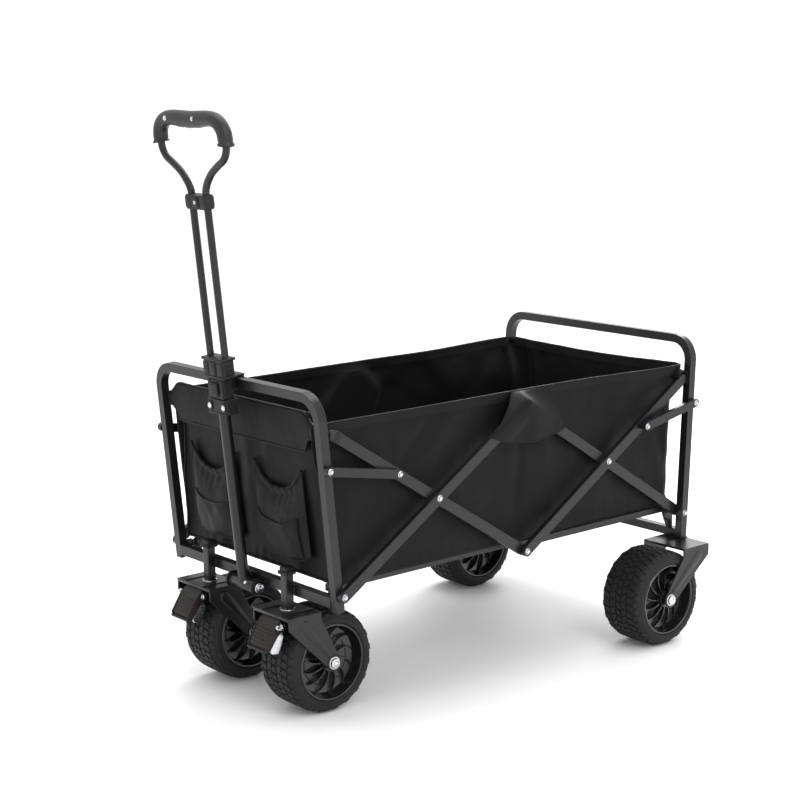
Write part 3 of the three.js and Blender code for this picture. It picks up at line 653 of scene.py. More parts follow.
for hand, side in HANDS:
    fork_y = side * FRONT_WHEEL_Y
    s = Shape()
    fork_legs(s, FRONT_WHEEL_X, fork_y, (-22, 168), (31, 106))
    s.add(*block((-56.4, -54.0), (fork_y - 51.6, fork_y + 51.6), (182.4, 188), 1.0))
    s.add(*block((-56, 13), (fork_y - 30, fork_y - 26), (187.6, 189.2), 0.5))
    s.add(*block((-56, 13), (fork_y + 26, fork_y + 30), (187.6, 189.2), 0.5))
    s.piece(f"fork_pressings_{hand}", f"caster_{hand}", FRAME, "frame")
    s = Shape()
    s.add(*turned([(13.5, 0), (13.5, 1.2), (12.6, 1.8), (9, 1.8)], 32),
          Matrix.Translation((-19.5, fork_y, 188.0)) @ Matrix.Rotation(math.pi / 2, 4, "X"))
    s.piece(f"stem_washer_{hand}", f"caster_{hand}", ZINC, "zinc", 40)

    rear_y = side * REAR_WHEEL_Y
    s = Shape()
    fork_legs(s, REAR_WHEEL_X, rear_y, (826, 163), (758, 106))
    s.add(*block((856.6, 859.2), (rear_y - 51, rear_y + 51), (166, 182), 0.9))
    for seam in (-8.6, 8.6):
        s.add(*weld(((850 + seam, side * 241, 183.6), (850 + seam, side * 259, 183.6))))
    s.piece(f"rear_fork_pressings_{hand}", "rear_frame", FRAME, "frame")

    s = Shape()
    for dy in (-1, 1):
        y = fork_y + dy * 8.9
        s.add(*weld(((-11.2, y, 213), (-11.2, y, 229))))
    s.add(*weld(((-11.2, fork_y - 8, 230.4), (-11.2, fork_y + 8, 230.4))))
    s.piece(f"stem_welds_{hand}", "front_frame", FRAME, "frame")

    s = Shape()
    s.add(*block((-31.5, -7.5), (fork_y - 12, fork_y + 12), (250.6, 257), 2.2, 3))
    s.add(*block((-29, -10), (fork_y - 9.5, fork_y + 9.5), (256, 264.5), 3, 3))
    for k in (-6, -2, 2, 6):
        s.add(*block((-32.2, -30.8), (fork_y + k - 0.9, fork_y + k + 0.9), (251, 257), 0.4, 1))
        s.add(*block((-19.5 + k - 0.9, -19.5 + k + 0.9), (fork_y - 12.7, fork_y - 11.3), (251, 257), 0.4, 1))
    s.piece(f"stem_cap_trim_{hand}", "front_frame", PLASTIC, "plastic")

    brake = f"brake_{hand}"
    s = Shape()
    for k in range(5):
        x, z = -69.5 - 3.3 * k, 163 - 5.6 * k
        s.add(*block((x - 1.7, x + 1.4), (fork_y - 20.5, fork_y + 20.5), (z - 1.5, z + 1.6), 0.8, 2))
    s.add(*block((-88.6, -77.5), (fork_y - 26.5, fork_y + 26.5), (128.6, 133.4), 1.8, 3))
    for dy in (-1, 1):
        s.add(*prism(PEDAL_CHEEK, sorted((fork_y + dy * 23.6, fork_y + dy * 26.2)), 1.0, 2))
    s.piece(f"pedal_ribs_{hand}", brake, PEDAL, "pedal")
    s = Shape()
    for dy in (-1, 1):
        s.add(*dome(4.2, 3.2), at(-51, fork_y + dy * 26.2, 169, dy))
        s.add(*turned([(6.6, 0), (6.6, 0.8), (5.6, 1.1)], 28), at(-51, fork_y + dy * 26.2, 169, dy))
        s.add(*prism(BRAKE_PLATE, sorted((fork_y + dy * 20.6, fork_y + dy * 22.6)), 0.5, 1))
    coil = [(-62 + 3.4 * math.cos(t / 3), fork_y + side * (27.5 + t / 10), 170 + 3.4 * math.sin(t / 3))
            for t in range(61)]
    s.add(*tube(coil, 0.9, 7))
    s.piece(f"brake_hardware_{hand}", brake, ZINC, "zinc", 40)


# ---------------- handle
POLE_FOOT = (-26, 210)
POLE_TURN = Matrix.Translation((POLE_FOOT[0], 0, POLE_FOOT[1])) @ Matrix.Rotation(math.radians(-6), 4, "Y")


def on_pole(s, form):
    s.add(*form, POLE_TURN)


def facing_front(x, y, z):
    """Placement for forms turned about y that should look along the pole's front."""
    return POLE_TURN @ Matrix.Translation((x, y, z)) @ Matrix.Rotation(math.pi / 2, 4, "Z")


ROD_Y = 21.5
BARREL_R = 11.8
POLE_WELD_R = 10.4
GRIP_Z = 816
LOOP_TOP = [(95, 779), (92, 797), (81, 810), (64, GRIP_Z)]
LOOP = [(ROD_Y, 377), (ROD_Y, 520), (ROD_Y, 640), (ROD_Y, 692), (ROD_Y + 1, 698), (29, 710), (44, 726),
        (64, 739), (84, 751), (93, 764)] + LOOP_TOP


def whole_loop(half, per):
    """A smooth path through half a loop, given in y and z, its top and its mirror image."""
    line = [(0, -y, z) for y, z in half] + [(0, 0, GRIP_Z)] + [(0, y, z) for y, z in reversed(half)]
    return curve_through(line, per)


s = Shape()
on_pole(s, tube(whole_loop(LOOP, 12), 6.35, 20))
s.piece("rod_skin", "pull_handle", FRAME, "frame", 60)


def foot_weld(a):
    """The weld where the round pole meets its barrel foot, at angle a round the pole."""
    across = POLE_WELD_R * math.cos(a)
    return Vector((across, POLE_WELD_R * math.sin(a), math.sqrt(BARREL_R ** 2 - across ** 2)))


s = Shape()
on_pole(s, tube([(0, 0, z) for z in (4, 100, 200, 300, 401)], 10.15, 40))
on_pole(s, turned([(10.9, -33.7), (BARREL_R, -32.7), (BARREL_R, 32.7), (10.9, 33.7)], 56))
on_pole(s, tube([foot_weld(math.pi * i / 24) for i in range(49)], 1.1, 8, lambda i, a: 0.85 + 0.2 * (i % 2)))
s.piece("pole_skin", "pole", FRAME, "frame", 60)

grip_path = whole_loop(LOOP_TOP, 16)
first, last = grip_path[0], grip_path[-1]
grip_path = [first + Vector((0, 0.6, -4.5)), first + Vector((0, 0.2, -2))] + grip_path
grip_path += [last + Vector((0, -0.2, -2)), last + Vector((0, -0.6, -4.5))]


def grip_form(i, a):
    end = min(i, len(grip_path) - 1 - i)
    return 1.0 + (0.13 if end < 2 else 0.0) - (0.05 if 2 <= end < 4 else 0.0) + 0.006 * math.cos(8 * a)


verts, faces = tube(grip_path, 12.7, 28, grip_form)
shaped = []
for q in verts:
    p = Vector(q)
    middle = smooth((62 - abs(p.y)) / 40)
    if p.z < GRIP_Z:
        finger = 1 + 0.10 * math.cos(p.y * 2 * math.pi / 27)
        p.z = GRIP_Z - (GRIP_Z - p.z) * (1 + 0.24 * middle * finger)
    p.x *= 1 + 0.08 * middle
    shaped.append(p)
s = Shape()
s.add(shaped, faces, POLE_TURN)
s.piece("grip_skin", "pull_handle", GRIP, "grip", 60)


def screw_head(s, place, radius):
    s.add(*turned([(radius + 1.4, -1), (radius + 1.4, 0.2), (radius + 0.4, 0.5), (radius, 0.2)], 24), place)
    s.add(*turned([(radius, 0), (radius, 1.2), (radius * 0.7, 1.9), (0.35 * radius, 2.0), (0.3 * radius, 1.2),
                   (0.01, 1.2)], 24), place)


s = Shape()
for y in (57.0, -24.0):
    screw_head(s, facing_front(-12.9, y, 817), 3.0)
screw_head(s, facing_front(-10.6, 0, 678), 2.8)
s.piece("grip_screws", "pull_handle", ZINC, "zinc", 45)

s = Shape()
on_pole(s, block((-14, 14), (-27, 27), (311.5, 315.5), 1.6, 2))
on_pole(s, block((-14, 14), (-27, 27), (336, 338.8), 1.2, 2))
for dy in (-1, 1):
    on_pole(s, block((-15.2, -11), (dy * 20 - 5.5, dy * 20 + 5.5), (318, 334), 1.6, 2))
for form in (
    ((-13.4, -10.5), (-21.4, -11.5), (341, 373), 1.2), ((-13.4, -10.5), (11.5, 21.4), (341, 373), 1.2),
    ((-13.2, -10.5), (-11, 11), (341, 345.6), 0.9), ((-13.2, -10.5), (-11, 11), (368.6, 373), 0.9),
    ((-14.6, 14.6), (-31.6, 31.6), (376, 380), 1.6), ((-14.6, 14.6), (-31.6, 31.6), (406, 411.6), 2.0),
    ((-15.0, -11), (-8, 8), (381, 405), 1.6),
):
    on_pole(s, block(*form))
for dy in (-1, 1):
    on_pole(s, block((-14.2, -11), (dy * 21 - 7, dy * 21 + 7), (382, 404), 1.4, 2))
    for k in range(3):
        on_pole(s, block((-7, 7), (dy * 30.6 - 0.8, dy * 30.6 + 0.8), (384 + 7 * k, 388 + 7 * k), 0.5, 1))
for dy in (-1, 1):
    on_pole(s, block((-10.2, 10.2), (dy * 21.5 - 8.8, dy * 21.5 + 8.8), (667, 689), 3.4, 3))
on_pole(s, block((-11.0, -8.5), (-9, 9), (670, 687), 1.0, 2))
s.piece("handle_mouldings", "pull_handle", PLASTIC, "plastic")
s = Shape()
for dy in (-1, 1):
    s.add(*dome(3.9, 2.8, 1.0), facing_front(-15.1, dy * 20, 326))
s.piece("collar_rivets", "pull_handle", ZINC, "zinc", 45)
s = Shape()
for k in range(4):
    on_pole(s, block((-17.3, -16.0), (-8.5, 8.5), (348.5 + 4.6 * k, 350.8 + 4.6 * k), 0.5, 1))
on_pole(s, block((-16.9, -14.4), (-9.6, 9.6), (346.4, 367.6), 1.0, 2))
s.piece("button_ribs", "release_button", PLASTIC, "plastic")

s = Shape()
for dy in (-1, 1):
    s.add(*turned([(13, 0), (13, 1.6), (12, 2.2), (9.2, 2.2)], 32),
          at(POLE_FOOT[0], dy * 38.1, POLE_FOOT[1], dy))
s.piece("handle_washers", "front_frame", PLASTIC, "plastic", 40)
BOLT_HEAD = ((8.6, 6.4), (8.0, 7.6), (6.0, 8.0), (4.6, 8.0), (4.2, 9.4), (2.6, 10.2), (0.01, 10.4))
s = Shape()
for dy in (-1, 1):
    s.add(*turned(BOLT_HEAD, 30),
          at(POLE_FOOT[0], dy * 38, POLE_FOOT[1], dy))
s.piece("handle_bolt_heads", "front_frame", ZINC, "zinc", 40)
s = Shape()
on_barrel = (Matrix.Rotation(math.radians(40), 4, "Y") @ Matrix.Translation((-11.7, 0, 0))
             @ Matrix.Rotation(math.pi / 2, 4, "Z"))
s.add(*dome(2.6, 1.8, 1.0), POLE_TURN @ Matrix.Translation((0, -16, 0)) @ on_barrel)
s.piece("barrel_rivet", "pole", ZINC, "zinc", 45)


# ---------------- frame trim
s = Shape()
for side in (1, -1):
    for z in (212, 230.2):
        s.add(*weld(((-10, side * 225.2, z), (4, side * 225.2, z)), 1.1))
    for dy in (33.2, 38.8):
        s.add(*weld(((-11.2, side * dy, 213), (-11.2, side * dy, 229)), 1.0))
s.piece("front_welds", "front_frame", FRAME, "frame")
s = Shape()
for side in (1, -1):
    for z in (184.2, 200.2):
        s.add(*weld(((843, side * 242.2, z), (857, side * 242.2, z)), 1.1))
s.piece("rear_welds", "rear_frame", FRAME, "frame")
PIVOT_CAP = ((8, 0), (8, 3.4), (7, 4.2), (0.01, 4.2))
CATCH = ((839, 200), (839, 214), (832, 222), (822, 224), (822, 219), (829, 216), (833, 210), (833, 200))
s = Shape()
for side in (1, -1):
    s.add(*turned(PIVOT_CAP, 24), at(14, side * 203.4, FLOOR_PIVOT_Z, side))
    s.add(*block((2, 12), sorted((side * 206, side * 222)), (229.6, 240), 1.6, 2))
s.piece("floor_pivot_caps", "front_frame", PLASTIC, "plastic")
s = Shape()
for side in (1, -1):
    s.add(*turned(PIVOT_CAP, 24), at(836, side * 220.4, FLOOR_PIVOT_Z, side))
    s.add(*prism(CATCH, sorted((side * 226, side * 236)), 1.2, 2))
s.piece("rear_pivot_caps", "rear_frame", PLASTIC, "plastic")
for end, x, inner, body in (("front", 419, 188, "floor_front"), ("rear", 432, 205, "floor_rear")):
    s = Shape()
    for side in (1, -1):
        under = Matrix.Translation((x, side * (inner - 12), 231.4)) @ Matrix.Rotation(-math.pi / 2, 4, "X")
        for place in (under, at(x, side * (inner + 12.1), FLOOR_PIVOT_Z, side)):
            s.add(*dome(2.6, 1.6), place)
    s.piece(f"hinge_rivets_{end}", body, ZINC, "zinc", 45)

for hand, side in HANDS:
    s = Shape()
    bar_end = Vector((0, 0, apex[1])) + Vector((-math.cos(bar_angle), 0, math.sin(bar_angle))) * 2
    s.add(*block((-9, 9), sorted((side * 230.2, side * 241.7)), (-10.4, 10.4), 3, 3),
          Matrix.Translation(bar_end) @ Matrix.Rotation(bar_angle, 4, "Y"))
    s.piece(f"bar_b_cap_{hand}", f"bar_b_{hand}", PLASTIC, "plastic")

s = Shape()
lean = (Matrix.Translation((0, 0, PIVOT_Z)) @ Matrix.Rotation(math.radians(-5.5), 4, "Y")
        @ Matrix.Translation((0, 0, -PIVOT_Z)))
for z in (564, 586.6):
    s.add(*block((-16, 10), (-14.5, 14.5), (z - 1.6, z + 1.2), 1.0, 2), lean)
s.add(*block((-18.6, -16.4), (-10, 10), (548, 578), 0.9, 2), lean)
s.piece("pole_clip_ribs", "front_frame", PLASTIC, "plastic")


# ---------------- bag
def crease(x, z, a, b, width):
    """Signed nearness to the line from a to b, in x and z: 1 on the line, 0 away from it or past its ends."""
    dx, dz = b[0] - a[0], b[1] - a[1]
    long = math.hypot(dx, dz)
    t = ((x - a[0]) * dx + (z - a[1]) * dz) / long
    off = ((x - a[0]) * dz - (z - a[1]) * dx) / long
    ends = smooth((t + 25) / 60) * smooth((long + 25 - t) / 60)
    return bell(off / width) * ends, math.tanh(off / width) * ends


# Creases of the side walls: start and end in x and z, width, height as a fold and height as a step.
BOTH_CREASES = (((436, 500), (424, 262), 11, -3.6, 0), ((486, 470), (512, 262), 20, 2.6, 0))
CREASES = {
    -1: (
        ((296, 532), (176, 414), 24, 6.0, 0), ((240, 528), (130, 420), 9, -2.0, 0),
        ((60, 500), (190, 330), 22, 2.4, 0), ((700, 500), (640, 300), 26, 2.8, 0),
        ((800, 480), (835, 300), 14, -2.4, 0),
    ),
    1: (
        ((406, 532), (297, 440), 15, 2.4, 4.4), ((406, 532), (486, 470), 13, 2.6, -4.2),
        ((486, 480), (440, 390), 15, 0, -4.4), ((570, 534), (668, 420), 18, 0, 4.2),
        ((700, 520), (790, 400), 26, 3.4, 0), ((150, 520), (250, 420), 22, 0, -3.8),
    ),
}
# Folds of the rear wall: place across it, width and height.
REAR_FOLDS = ((186, 9, 4.6), (158, 10, -3.8), (128, 12, 3.0), (-120, 16, -2.4), (-180, 12, 3.0), (20, 20, -2))
FRONT_FOLDS = ((-198, 12, -3.0), (198, 12, -3.0), (0, 16, 2.4), (-60, 12, 1.6), (70, 14, -1.6))


def side_relief(side, x, z, v):
    """How far a side wall stands out from its flat cut, in millimetres."""
    d = 3.4 * math.sin(math.pi * min(max(v, 0), 1)) * (0.75 + 0.25 * math.cos(x / 95))
    d += 2.6 * wobble(x, side * 40, z, 150, 1.3) + 1.7 * wobble(x, side * 40, 1.4 * z, 62, 4.1)
    d += 0.7 * wobble(x, side * 40, z, 24, 7.7)
    for a, b, width, fold_high, step_high in BOTH_CREASES + CREASES[side]:
        fold, step = crease(x, z, a, b, width)
        d += fold_high * fold + step_high * step
    gather = (1 - smooth(v / 0.16)) * (0.8 + 0.5 * wobble(x, 3, 1, 60, 2))
    d += 1.3 * gather * math.sin(x / 4.4 + 2.2 * math.sin(x / 31))
    # flatter at the foot and the rim, where the cloth is sewn
    d *= 0.25 + 0.75 * smooth(v / 0.15)
    d -= 0.2 * (1 - smooth(v / 0.07))
    d *= 1 - 0.75 * smooth((v - 0.9) / 0.1)
    ends = smooth(x / 30) * smooth((850 - x) / 26)
    inward = -4 + 2.9 * smooth((x - 560) / 80)
    return max(min(d * (0.3 + 0.7 * ends), 9.0), inward)


def end_relief(y, z, v):
    """The same for the rear wall."""
    d = 3.0 * math.sin(math.pi * min(max(v, 0), 1)) * math.cos(math.pi * y / 460)
    d += 2.4 * wobble(5, y, z, 120, 2.2) + 1.2 * wobble(5, y, z, 46, 5.5)
    for at_y, wide, deep in REAR_FOLDS:
        line = bell((y - at_y - 0.10 * (z - 400)) / wide)
        d += deep * line * smooth(v / 0.3) * (1 - 0.6 * smooth((v - 0.85) / 0.15))
    d -= 5.0 * (1 - smooth(v / 0.07))
    return max(min(d * smooth((222 - abs(y)) / 30), 3.5), -7)


CORNER = 17.0
corner_y = BAG_OUT - CORNER
side_long = 836.0 - CORNER
corner_long = math.pi / 2 * CORNER
around = 2 * side_long + 2 * corner_long + 2 * corner_y


def rim_flare(x, v):
    """How far the rim is drawn outwards, towards the bars' rear ends."""
    return 22 * smooth((x - 560) / 260) * smooth((v - 0.72) / 0.28)


def wall_point(u, v):
    """The bag's sides and rear wall in one strip: u runs from the near front corner round the rear, v up."""
    flat = u * around
    z = BAG_FOOT_Z + (BAG_RIM_Z - BAG_FOOT_Z) * v
    front_x = 8 - 26 * v
    rear_x = 843.5 + 12.0 * v
    if flat <= side_long or flat >= around - side_long:
        side = -1 if flat <= side_long else 1
        t = flat / side_long if side < 0 else (around - flat) / side_long
        x = front_x + (rear_x - CORNER - front_x) * t
        rim_sag = 0.5 * (math.sin(2 * math.pi * t) ** 2) * smooth((v - 0.5) / 0.5)
        out = BAG_OUT + side_relief(side, x, z, v) + rim_flare(x, v)
        return (x, side * out, z - rim_sag)
    if flat < side_long + corner_long or flat > around - side_long - corner_long:
        near = flat < side_long + corner_long
        a = ((flat - side_long) if near else (around - side_long - flat)) / CORNER
        r = CORNER + 0.6 * math.sin(z / 9) * (1 - v)
        x = rear_x - CORNER + r * math.sin(a)
        y = corner_y + r * math.cos(a)
        side = -1 if near else 1
        pull = side_relief(side, rear_x - CORNER, z, v) * math.cos(a) ** 2 + rim_flare(rear_x, v)
        return (x, side * (y + pull), z)
    y = -corner_y + (flat - side_long - corner_long)
    y *= 1 + rim_flare(rear_x, v) / corner_y
    dip = 4.0 * math.cos(math.pi * y / (2 * corner_y)) * smooth((v - 0.5) / 0.5)
    return (rear_x + end_relief(y, z, v), y, z - dip)


walls = sheet_piece("bag_walls", 300, 54, wall_point, 1.6)
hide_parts("bag_side_left", "bag_side_right", "bag_rear_wall")


HEM_ENDS = (0.0005, 0.9995)
HEM_LOW, HEM_TOP = 0.945, 1.004


def rim_band(out):
    """One face of the rim's hem, standing `out` from the walls."""
    u0, u1 = HEM_ENDS

    def fn(u, v):
        uu, vv = u0 + (u1 - u0) * u, HEM_LOW + (HEM_TOP - HEM_LOW) * v
        ahead = Vector(wall_point(min(uu + 0.001, 1), vv)) - Vector(wall_point(max(uu - 0.001, 0), vv))
        n = ahead.normalized().cross(Vector((0, 0, 1))).normalized()
        return Vector(wall_point(uu, vv)) + n * out

    return cloth_grid(300, 3, fn, 1.3)


hem = Shape()
hem.add(*rim_band(1.7))
hem.add(*rim_band(-1.7))
for v, radius in ((1.003, 2.7), (0.010, 1.4)):
    hem.add(*tube(trace(lambda t: wall_point(HEM_ENDS[0] + 0.999 * t, v), 400), radius, 8))
walls_hem = bound_edge(hem, "bag_rim_hem")


def stitch_line(s, point, count, length, lift):
    """Short raised stitches along point(t), t from 0 to 1."""
    for i in range(count):
        start = (i + 0.3) / count
        p, q = Vector(point(start)), Vector(point(start + length))
        n = (q - p).normalized().cross(Vector((0, 0, 1))).normalized() * lift
        s.add(*tube([p + n, (p + q) / 2 + n * 1.12, q + n], 0.45, 5))


thread = Shape()
stitch_line(thread, lambda t: wall_point(0.001 + 0.996 * t, 0.952), 420, 0.0013, 2.6)
rim_stitches = bound_edge(thread, "bag_stitches")


# The outer flaps: each hangs from the rim, tight over the bars' apex, to a curved lower edge.
FLAP_LOW = ((336, 459), (345, 454), (363, 447.5), (385, 443), (410, 439), (448, 436), (478, 439), (503, 443),
            (525, 448))
FLAP_TOP = (410.0, 506.0)
FLAP_TOP_Z = BAG_RIM_Z + 1
RIM_Y = 221.5
OUT_FRONT, OUT_REAR = 254.2, 244.6  # over bar A, and over bar D


def flap_low(t):
    x = FLAP_LOW[0][0] + (FLAP_LOW[-1][0] - FLAP_LOW[0][0]) * t
    for (x0, z0), (x1, z1) in zip(FLAP_LOW, FLAP_LOW[1:]):
        if x <= x1:
            k = (x - x0) / (x1 - x0)
            return x, z0 + (z1 - z0) * smooth(k) * 0.5 + (z1 - z0) * k * 0.5
    return FLAP_LOW[-1]


def flap_out(side, x, z):
    """How far from the middle plane the flap lies: from the rim over the bars' upper edges, then hanging."""
    slope = RISE / HALF_SPAN
    over_d = smooth((x - 434) / 76)
    out = OUT_FRONT + (OUT_REAR - OUT_FRONT) * over_d
    centre = PIVOT_Z + slope * (x if x < HALF_SPAN else 2 * HALF_SPAN - x)
    ridge = min(centre + 11.5, 514.5)
    if z >= ridge:
        t = min((z - ridge) / max(FLAP_TOP_Z - ridge, 1), 1)
        y = out + (RIM_Y - out) * t - 1.5 * math.sin(math.pi * t)
    else:
        below = max(centre - 11 - z, 0)
        y = out - 3.6 * smooth(below / 26) * (1 - over_d) + 0.4 * over_d
    off = math.hypot(x - HALF_SPAN, z - apex[1])
    return max(y, OUTER_FACE + 5.0 * bell(off / 7.5)) if off < 16 else y


def flap_point(side, u, v):
    """v runs from the rim to the flap's lower edge."""
    top_x = FLAP_TOP[0] + (FLAP_TOP[1] - FLAP_TOP[0]) * u
    low_x, low_z = flap_low(u)
    t = v ** 0.85
    x = top_x + (low_x - top_x) * t
    z = FLAP_TOP_Z + (low_z - FLAP_TOP_Z) * t
    near = sum(flap_out(side, x + dx, z + dz) for dx in (-5, 0, 5) for dz in (-4, 0, 4)) / 9
    y = near + 0.7 * wobble(x, side * 9, z, 34, 3.3) + 0.5 * t * math.sin(x / 13)
    return (x, side * y, z)


flaps = []
for hand, side in HANDS:
    flap = sheet_piece(f"bag_flap_{hand}", 64, 34, lambda u, v: flap_point(side, u, v), 1.5)
    s = Shape()
    s.add(*tube(trace(lambda t: flap_point(side, t, 0.995), 60), 1.4, 8))
    for u in (0.006, 0.994):
        s.add(*tube(trace(lambda t: flap_point(side, u, 0.03 + 0.97 * t), 30), 1.3, 8))
    flaps.append((flap, bound_edge(s, f"bag_flap_binding_{hand}")))


HOOD_Y = (226.5, 254.2)


def hood_point(side, u, v):
    """The bag's upper rear corner, drawn over the end of the outer bar like a small hood."""
    a = math.radians(168 - 225 * u)
    rise = (1 - 0.5 * v) ** 1.3
    r = 10.9 + 13.5 * rise * max(math.sin(a), 0) ** 0.8
    x = 844.3 + min(r, 12.0 + 2 * rise) * math.cos(a) - 6 * rise * (1 - u)
    y = HOOD_Y[0] + (HOOD_Y[1] - HOOD_Y[0]) * v
    return (x, side * y, 500.5 + r * math.sin(a) + 0.4 * math.sin(9 * u))


for hand, side in HANDS:
    hood = sheet_piece(f"bag_corner_hood_{hand}", 30, 16, lambda u, v: hood_point(side, u, v), 1.5,
                       "rear_frame")
    s = Shape()
    s.add(*tube(trace(lambda t: hood_point(side, t, 0.99), 40), 1.3, 8))
    bound_edge(s, f"bag_corner_binding_{hand}", "rear_frame")
EYELET = ((6.4, 0), (6.6, 1.2), (5.4, 1.8), (3.6, 1.6), (3.2, 0))
s = Shape()
for side in (1, -1):
    s.add(*turned(EYELET, 28), at(826, side * 222.6, 262, side))
s.piece("bag_eyelets", "rear_frame", PLASTIC, "plastic", 40)


# Front wall, its fold-over flap and the two pockets.
def front_x(z):
    """Face of the front wall: it leans forward, and its foot stays clear of the folding floor."""
    return 9 - 0.1 * (z - 247.5) - 3.4 * smooth((296 - z) / 44)


def front_wall_point(u, v):
    z = BAG_FOOT_Z + 0.5 + (543 - BAG_FOOT_Z) * v
    wide = BAG_OUT - 1.5 - 26 * smooth((v - 0.15) / 0.75)
    y = -wide + 2 * wide * u
    d = 4.6 * math.sin(math.pi * v) * math.cos(math.pi * (u - 0.5) * 0.9)
    d += 2.2 * wobble(9, y, z, 110, 3.3) + 1.5 * wobble(9, y, z, 44, 6.6)
    for at_y, wide_by, deep in FRONT_FOLDS:
        d += deep * bell((y - at_y + 0.06 * (z - 400)) / wide_by) * smooth(v / 0.25)
    gather = 1 - smooth(v / 0.14)
    d += 1.5 * gather * math.sin(y / 4.8 + 1.7 * math.sin(y / 27))
    lower = 5 * math.cos(math.pi * (u - 0.5)) * gather
    return (front_x(z) - max(d, -2 * smooth((z - 270) / 50)), y, z + 0.3 * lower)


front_wall = sheet_piece("bag_front_panel", 130, 60, front_wall_point, 1.6)
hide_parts("bag_front_wall")
s = Shape()
outward = Vector((-1.9, 0, 0))
for u in (0.003, 0.997):
    s.add(*tube(trace(lambda t: Vector(front_wall_point(u, t)) + outward, 60), 2.0, 8))
s.add(*tube(trace(lambda t: Vector(front_wall_point(t, 0.004)) + outward, 100), 2.0, 8))
front_binding = bound_edge(s, "bag_front_binding")


VALANCE_HALF = (212.0, 213.0)
VALANCE_TOP_Z = 541
TURN_SHARE = 0.1
TURN_R = 3.4


def valance_point(u, v):
    """The flap that folds over the front wall's top edge and hangs down in front."""
    half = VALANCE_HALF[0] + (VALANCE_HALF[1] - VALANCE_HALF[0]) * smooth(v * 1.6)
    edge = abs(2 * u - 1)
    corner_low = 22 * smooth((edge - 0.9) / 0.1) * smooth((v - 0.6) / 0.4)
    corner_top = 20 * smooth((edge - 0.86) / 0.14) * (1 - smooth(v / 0.5))
    y = 5 + (2 * u - 1) * (half - 14 * smooth((v - 0.7) / 0.3) * smooth((edge - 0.8) / 0.2))
    if v < TURN_SHARE:
        a = v / TURN_SHARE * math.pi
        x = front_x(545) - 1.0 - TURN_R + TURN_R * math.cos(a)
        return (x, y, VALANCE_TOP_Z + TURN_R * math.sin(a) - corner_top)
    t = (v - TURN_SHARE) / (1 - TURN_SHARE)
    z = VALANCE_TOP_Z - 65 * t + corner_low - corner_top
    z += 3.0 * math.cos(math.pi * (u - 0.5)) * -t * 0.6
    d = 2.0 * math.sin(math.pi * t) + 1.3 * wobble(4, y, z, 60, 8.1) + 0.5 * math.sin(y / 21) * t
    return (front_x(z) - 8.0 - d - 2.5 * t, y, z)


valance = sheet_piece("bag_valance", 150, 30, valance_point, 1.6)
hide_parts("front_flap")
s = Shape()
s.add(*tube(trace(lambda t: valance_point(0.003, 1 - t), 20)[::-1][2:]
            + trace(lambda t: valance_point(0.003 + 0.994 * t, 0.995), 120)
            + trace(lambda t: valance_point(0.997, 1 - t), 20)[:19], 2.3, 8))
valance_binding = bound_edge(s, "bag_valance_binding")


def pocket_point(side, u, v):
    """A net pocket gathered under an elastic that dips in the middle."""
    across = 2 * u - 1
    off = abs(across)
    y = side * 96 + across * (71 - 3 * v)
    low = 274 + 12 * off ** 3
    high = 440 - 42 * (1 - off ** 2.4)
    z = low + (high - low) * v
    swell = math.sin(math.pi * min(v * 1.08 + 0.04, 1)) ** 0.7 * (1 - off ** 3.2)
    d = 15 * swell + 1.0
    d += 0.9 * math.sin(y / 3.1 + 1.9 * math.sin(y / 19)) * smooth((v - 0.6) / 0.4) * (1 - off ** 6)
    d += 4.6 * wobble(2, y, z, 52, 9.2 + side) * swell + 2.2 * wobble(2, y, z, 21, 5.2 + side) * swell
    d += 3.5 * smooth((v - 0.86) / 0.14) * (1 - across ** 2)
    return (front_x(z) - 8.5 - max(d, 0.4), y, z)


def patch_point(side, u, v):
    """The cloth panel over a pocket's lower half."""
    p = Vector(pocket_point(side, 0.1 + 0.8 * u, 0.02 + 0.5 * v))
    return (p.x - 2.2 - 1.6 * math.sin(math.pi * v), p.y, p.z)


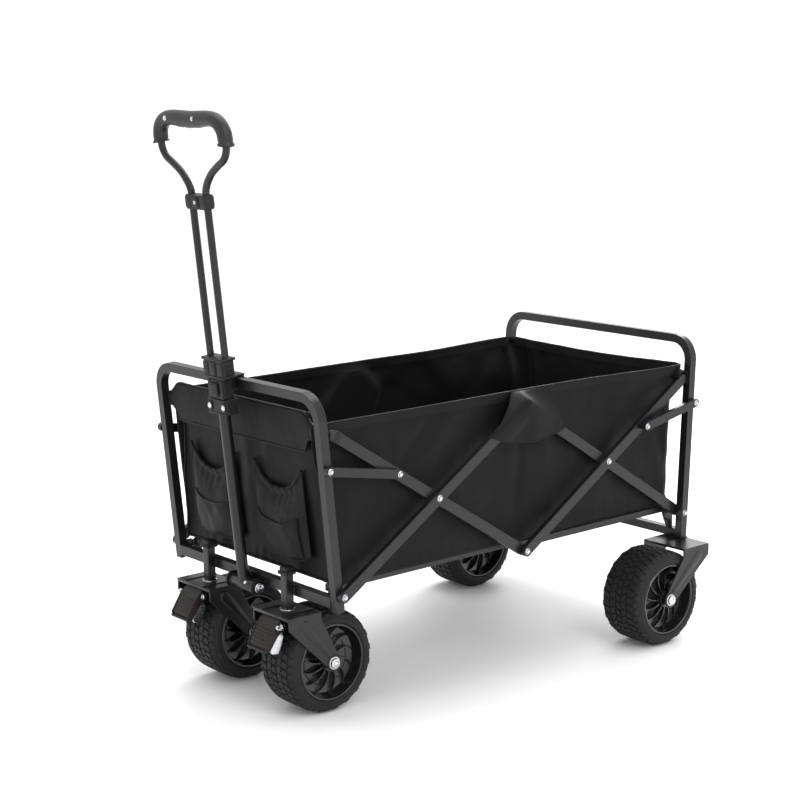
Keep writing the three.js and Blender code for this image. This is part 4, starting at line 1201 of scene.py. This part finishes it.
for hand, side in HANDS:
    net = sheet_piece(f"pocket_net_{hand}", 84, 44, lambda u, v: pocket_point(side, u, v), 1.2,
                      material=NET, slot="mesh")
    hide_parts(f"pocket_{hand}")
    patch = sheet_piece(f"pocket_panel_{hand}", 50, 26, lambda u, v: patch_point(side, u, v), 1.4)
    s = Shape()
    s.add(*tube(trace(lambda t: pocket_point(side, t, 0.995), 80), 3.0, 8, lambda i, a: 1 + 0.12 * (i % 2)))
    for u in (0.006, 0.994):
        s.add(*tube(trace(lambda t: pocket_point(side, u, t), 40), 1.8, 8))
    s.add(*tube(trace(lambda t: pocket_point(side, t, 0.006), 80), 1.8, 8))
    s.add(*tube(trace(lambda t: patch_point(side, t, 0.99), 50), 1.8, 8))
    bound_edge(s, f"pocket_elastic_{hand}")


# Floor panels, one on each folding floor frame.
def floor_point(x0, x1, u, v):
    """A floor panel between x0 and x1, a little full between its edges."""
    x = x0 + (x1 - x0) * u
    y = (2 * v - 1) * (BAG_OUT - 3)
    held = (1 - (2 * v - 1) ** 6) * math.sin(math.pi * u) ** 0.6
    d = 1.2 * held + 0.8 * wobble(x, y, 0, 70, 1.9) + 0.35 * wobble(x, y, 0, 22, 4.4)
    near_front = 1.8 * smooth((64 - x) / 40)
    return (x, y, 247.0 + 0.5 * d - near_front)


for name, x0, x1, body, node_name in (
    ("bag_floor_panel_front", 13, 424, "floor_front", "bag_floor_front"),
    ("bag_floor_panel_rear", 426, 839, "floor_rear", "bag_floor_rear"),
):
    panel = sheet_piece(name, 60, 44, lambda u, v: floor_point(x0, x1, u, v), 3.0, body)
    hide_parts(node_name)
    s = Shape()
    loop = trace(lambda t: floor_point(x0, x1, t, 0.002), 40)
    loop += trace(lambda t: floor_point(x0, x1, 0.999, t), 40)[1:]
    loop += trace(lambda t: floor_point(x0, x1, 1 - t, 0.998), 40)[1:]
    loop += trace(lambda t: floor_point(x0, x1, 0.001, 1 - t), 40)[1:40]
    s.add(*tube(loop, 1.7, 8))
    bound_edge(s, name + "_piping", body)


# ---------------- the soft pieces get meshes of their own
for soft in (walls, walls_hem, rim_stitches, *[p for pair in flaps for p in pair]):
    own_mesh(soft)

# ---------------- floor
bpy.ops.mesh.primitive_plane_add(size=24, location=(0, 0, -0.0026))
ground = bpy.context.object
ground.name = "studio_floor"
ground.data.materials.append(FLOOR)
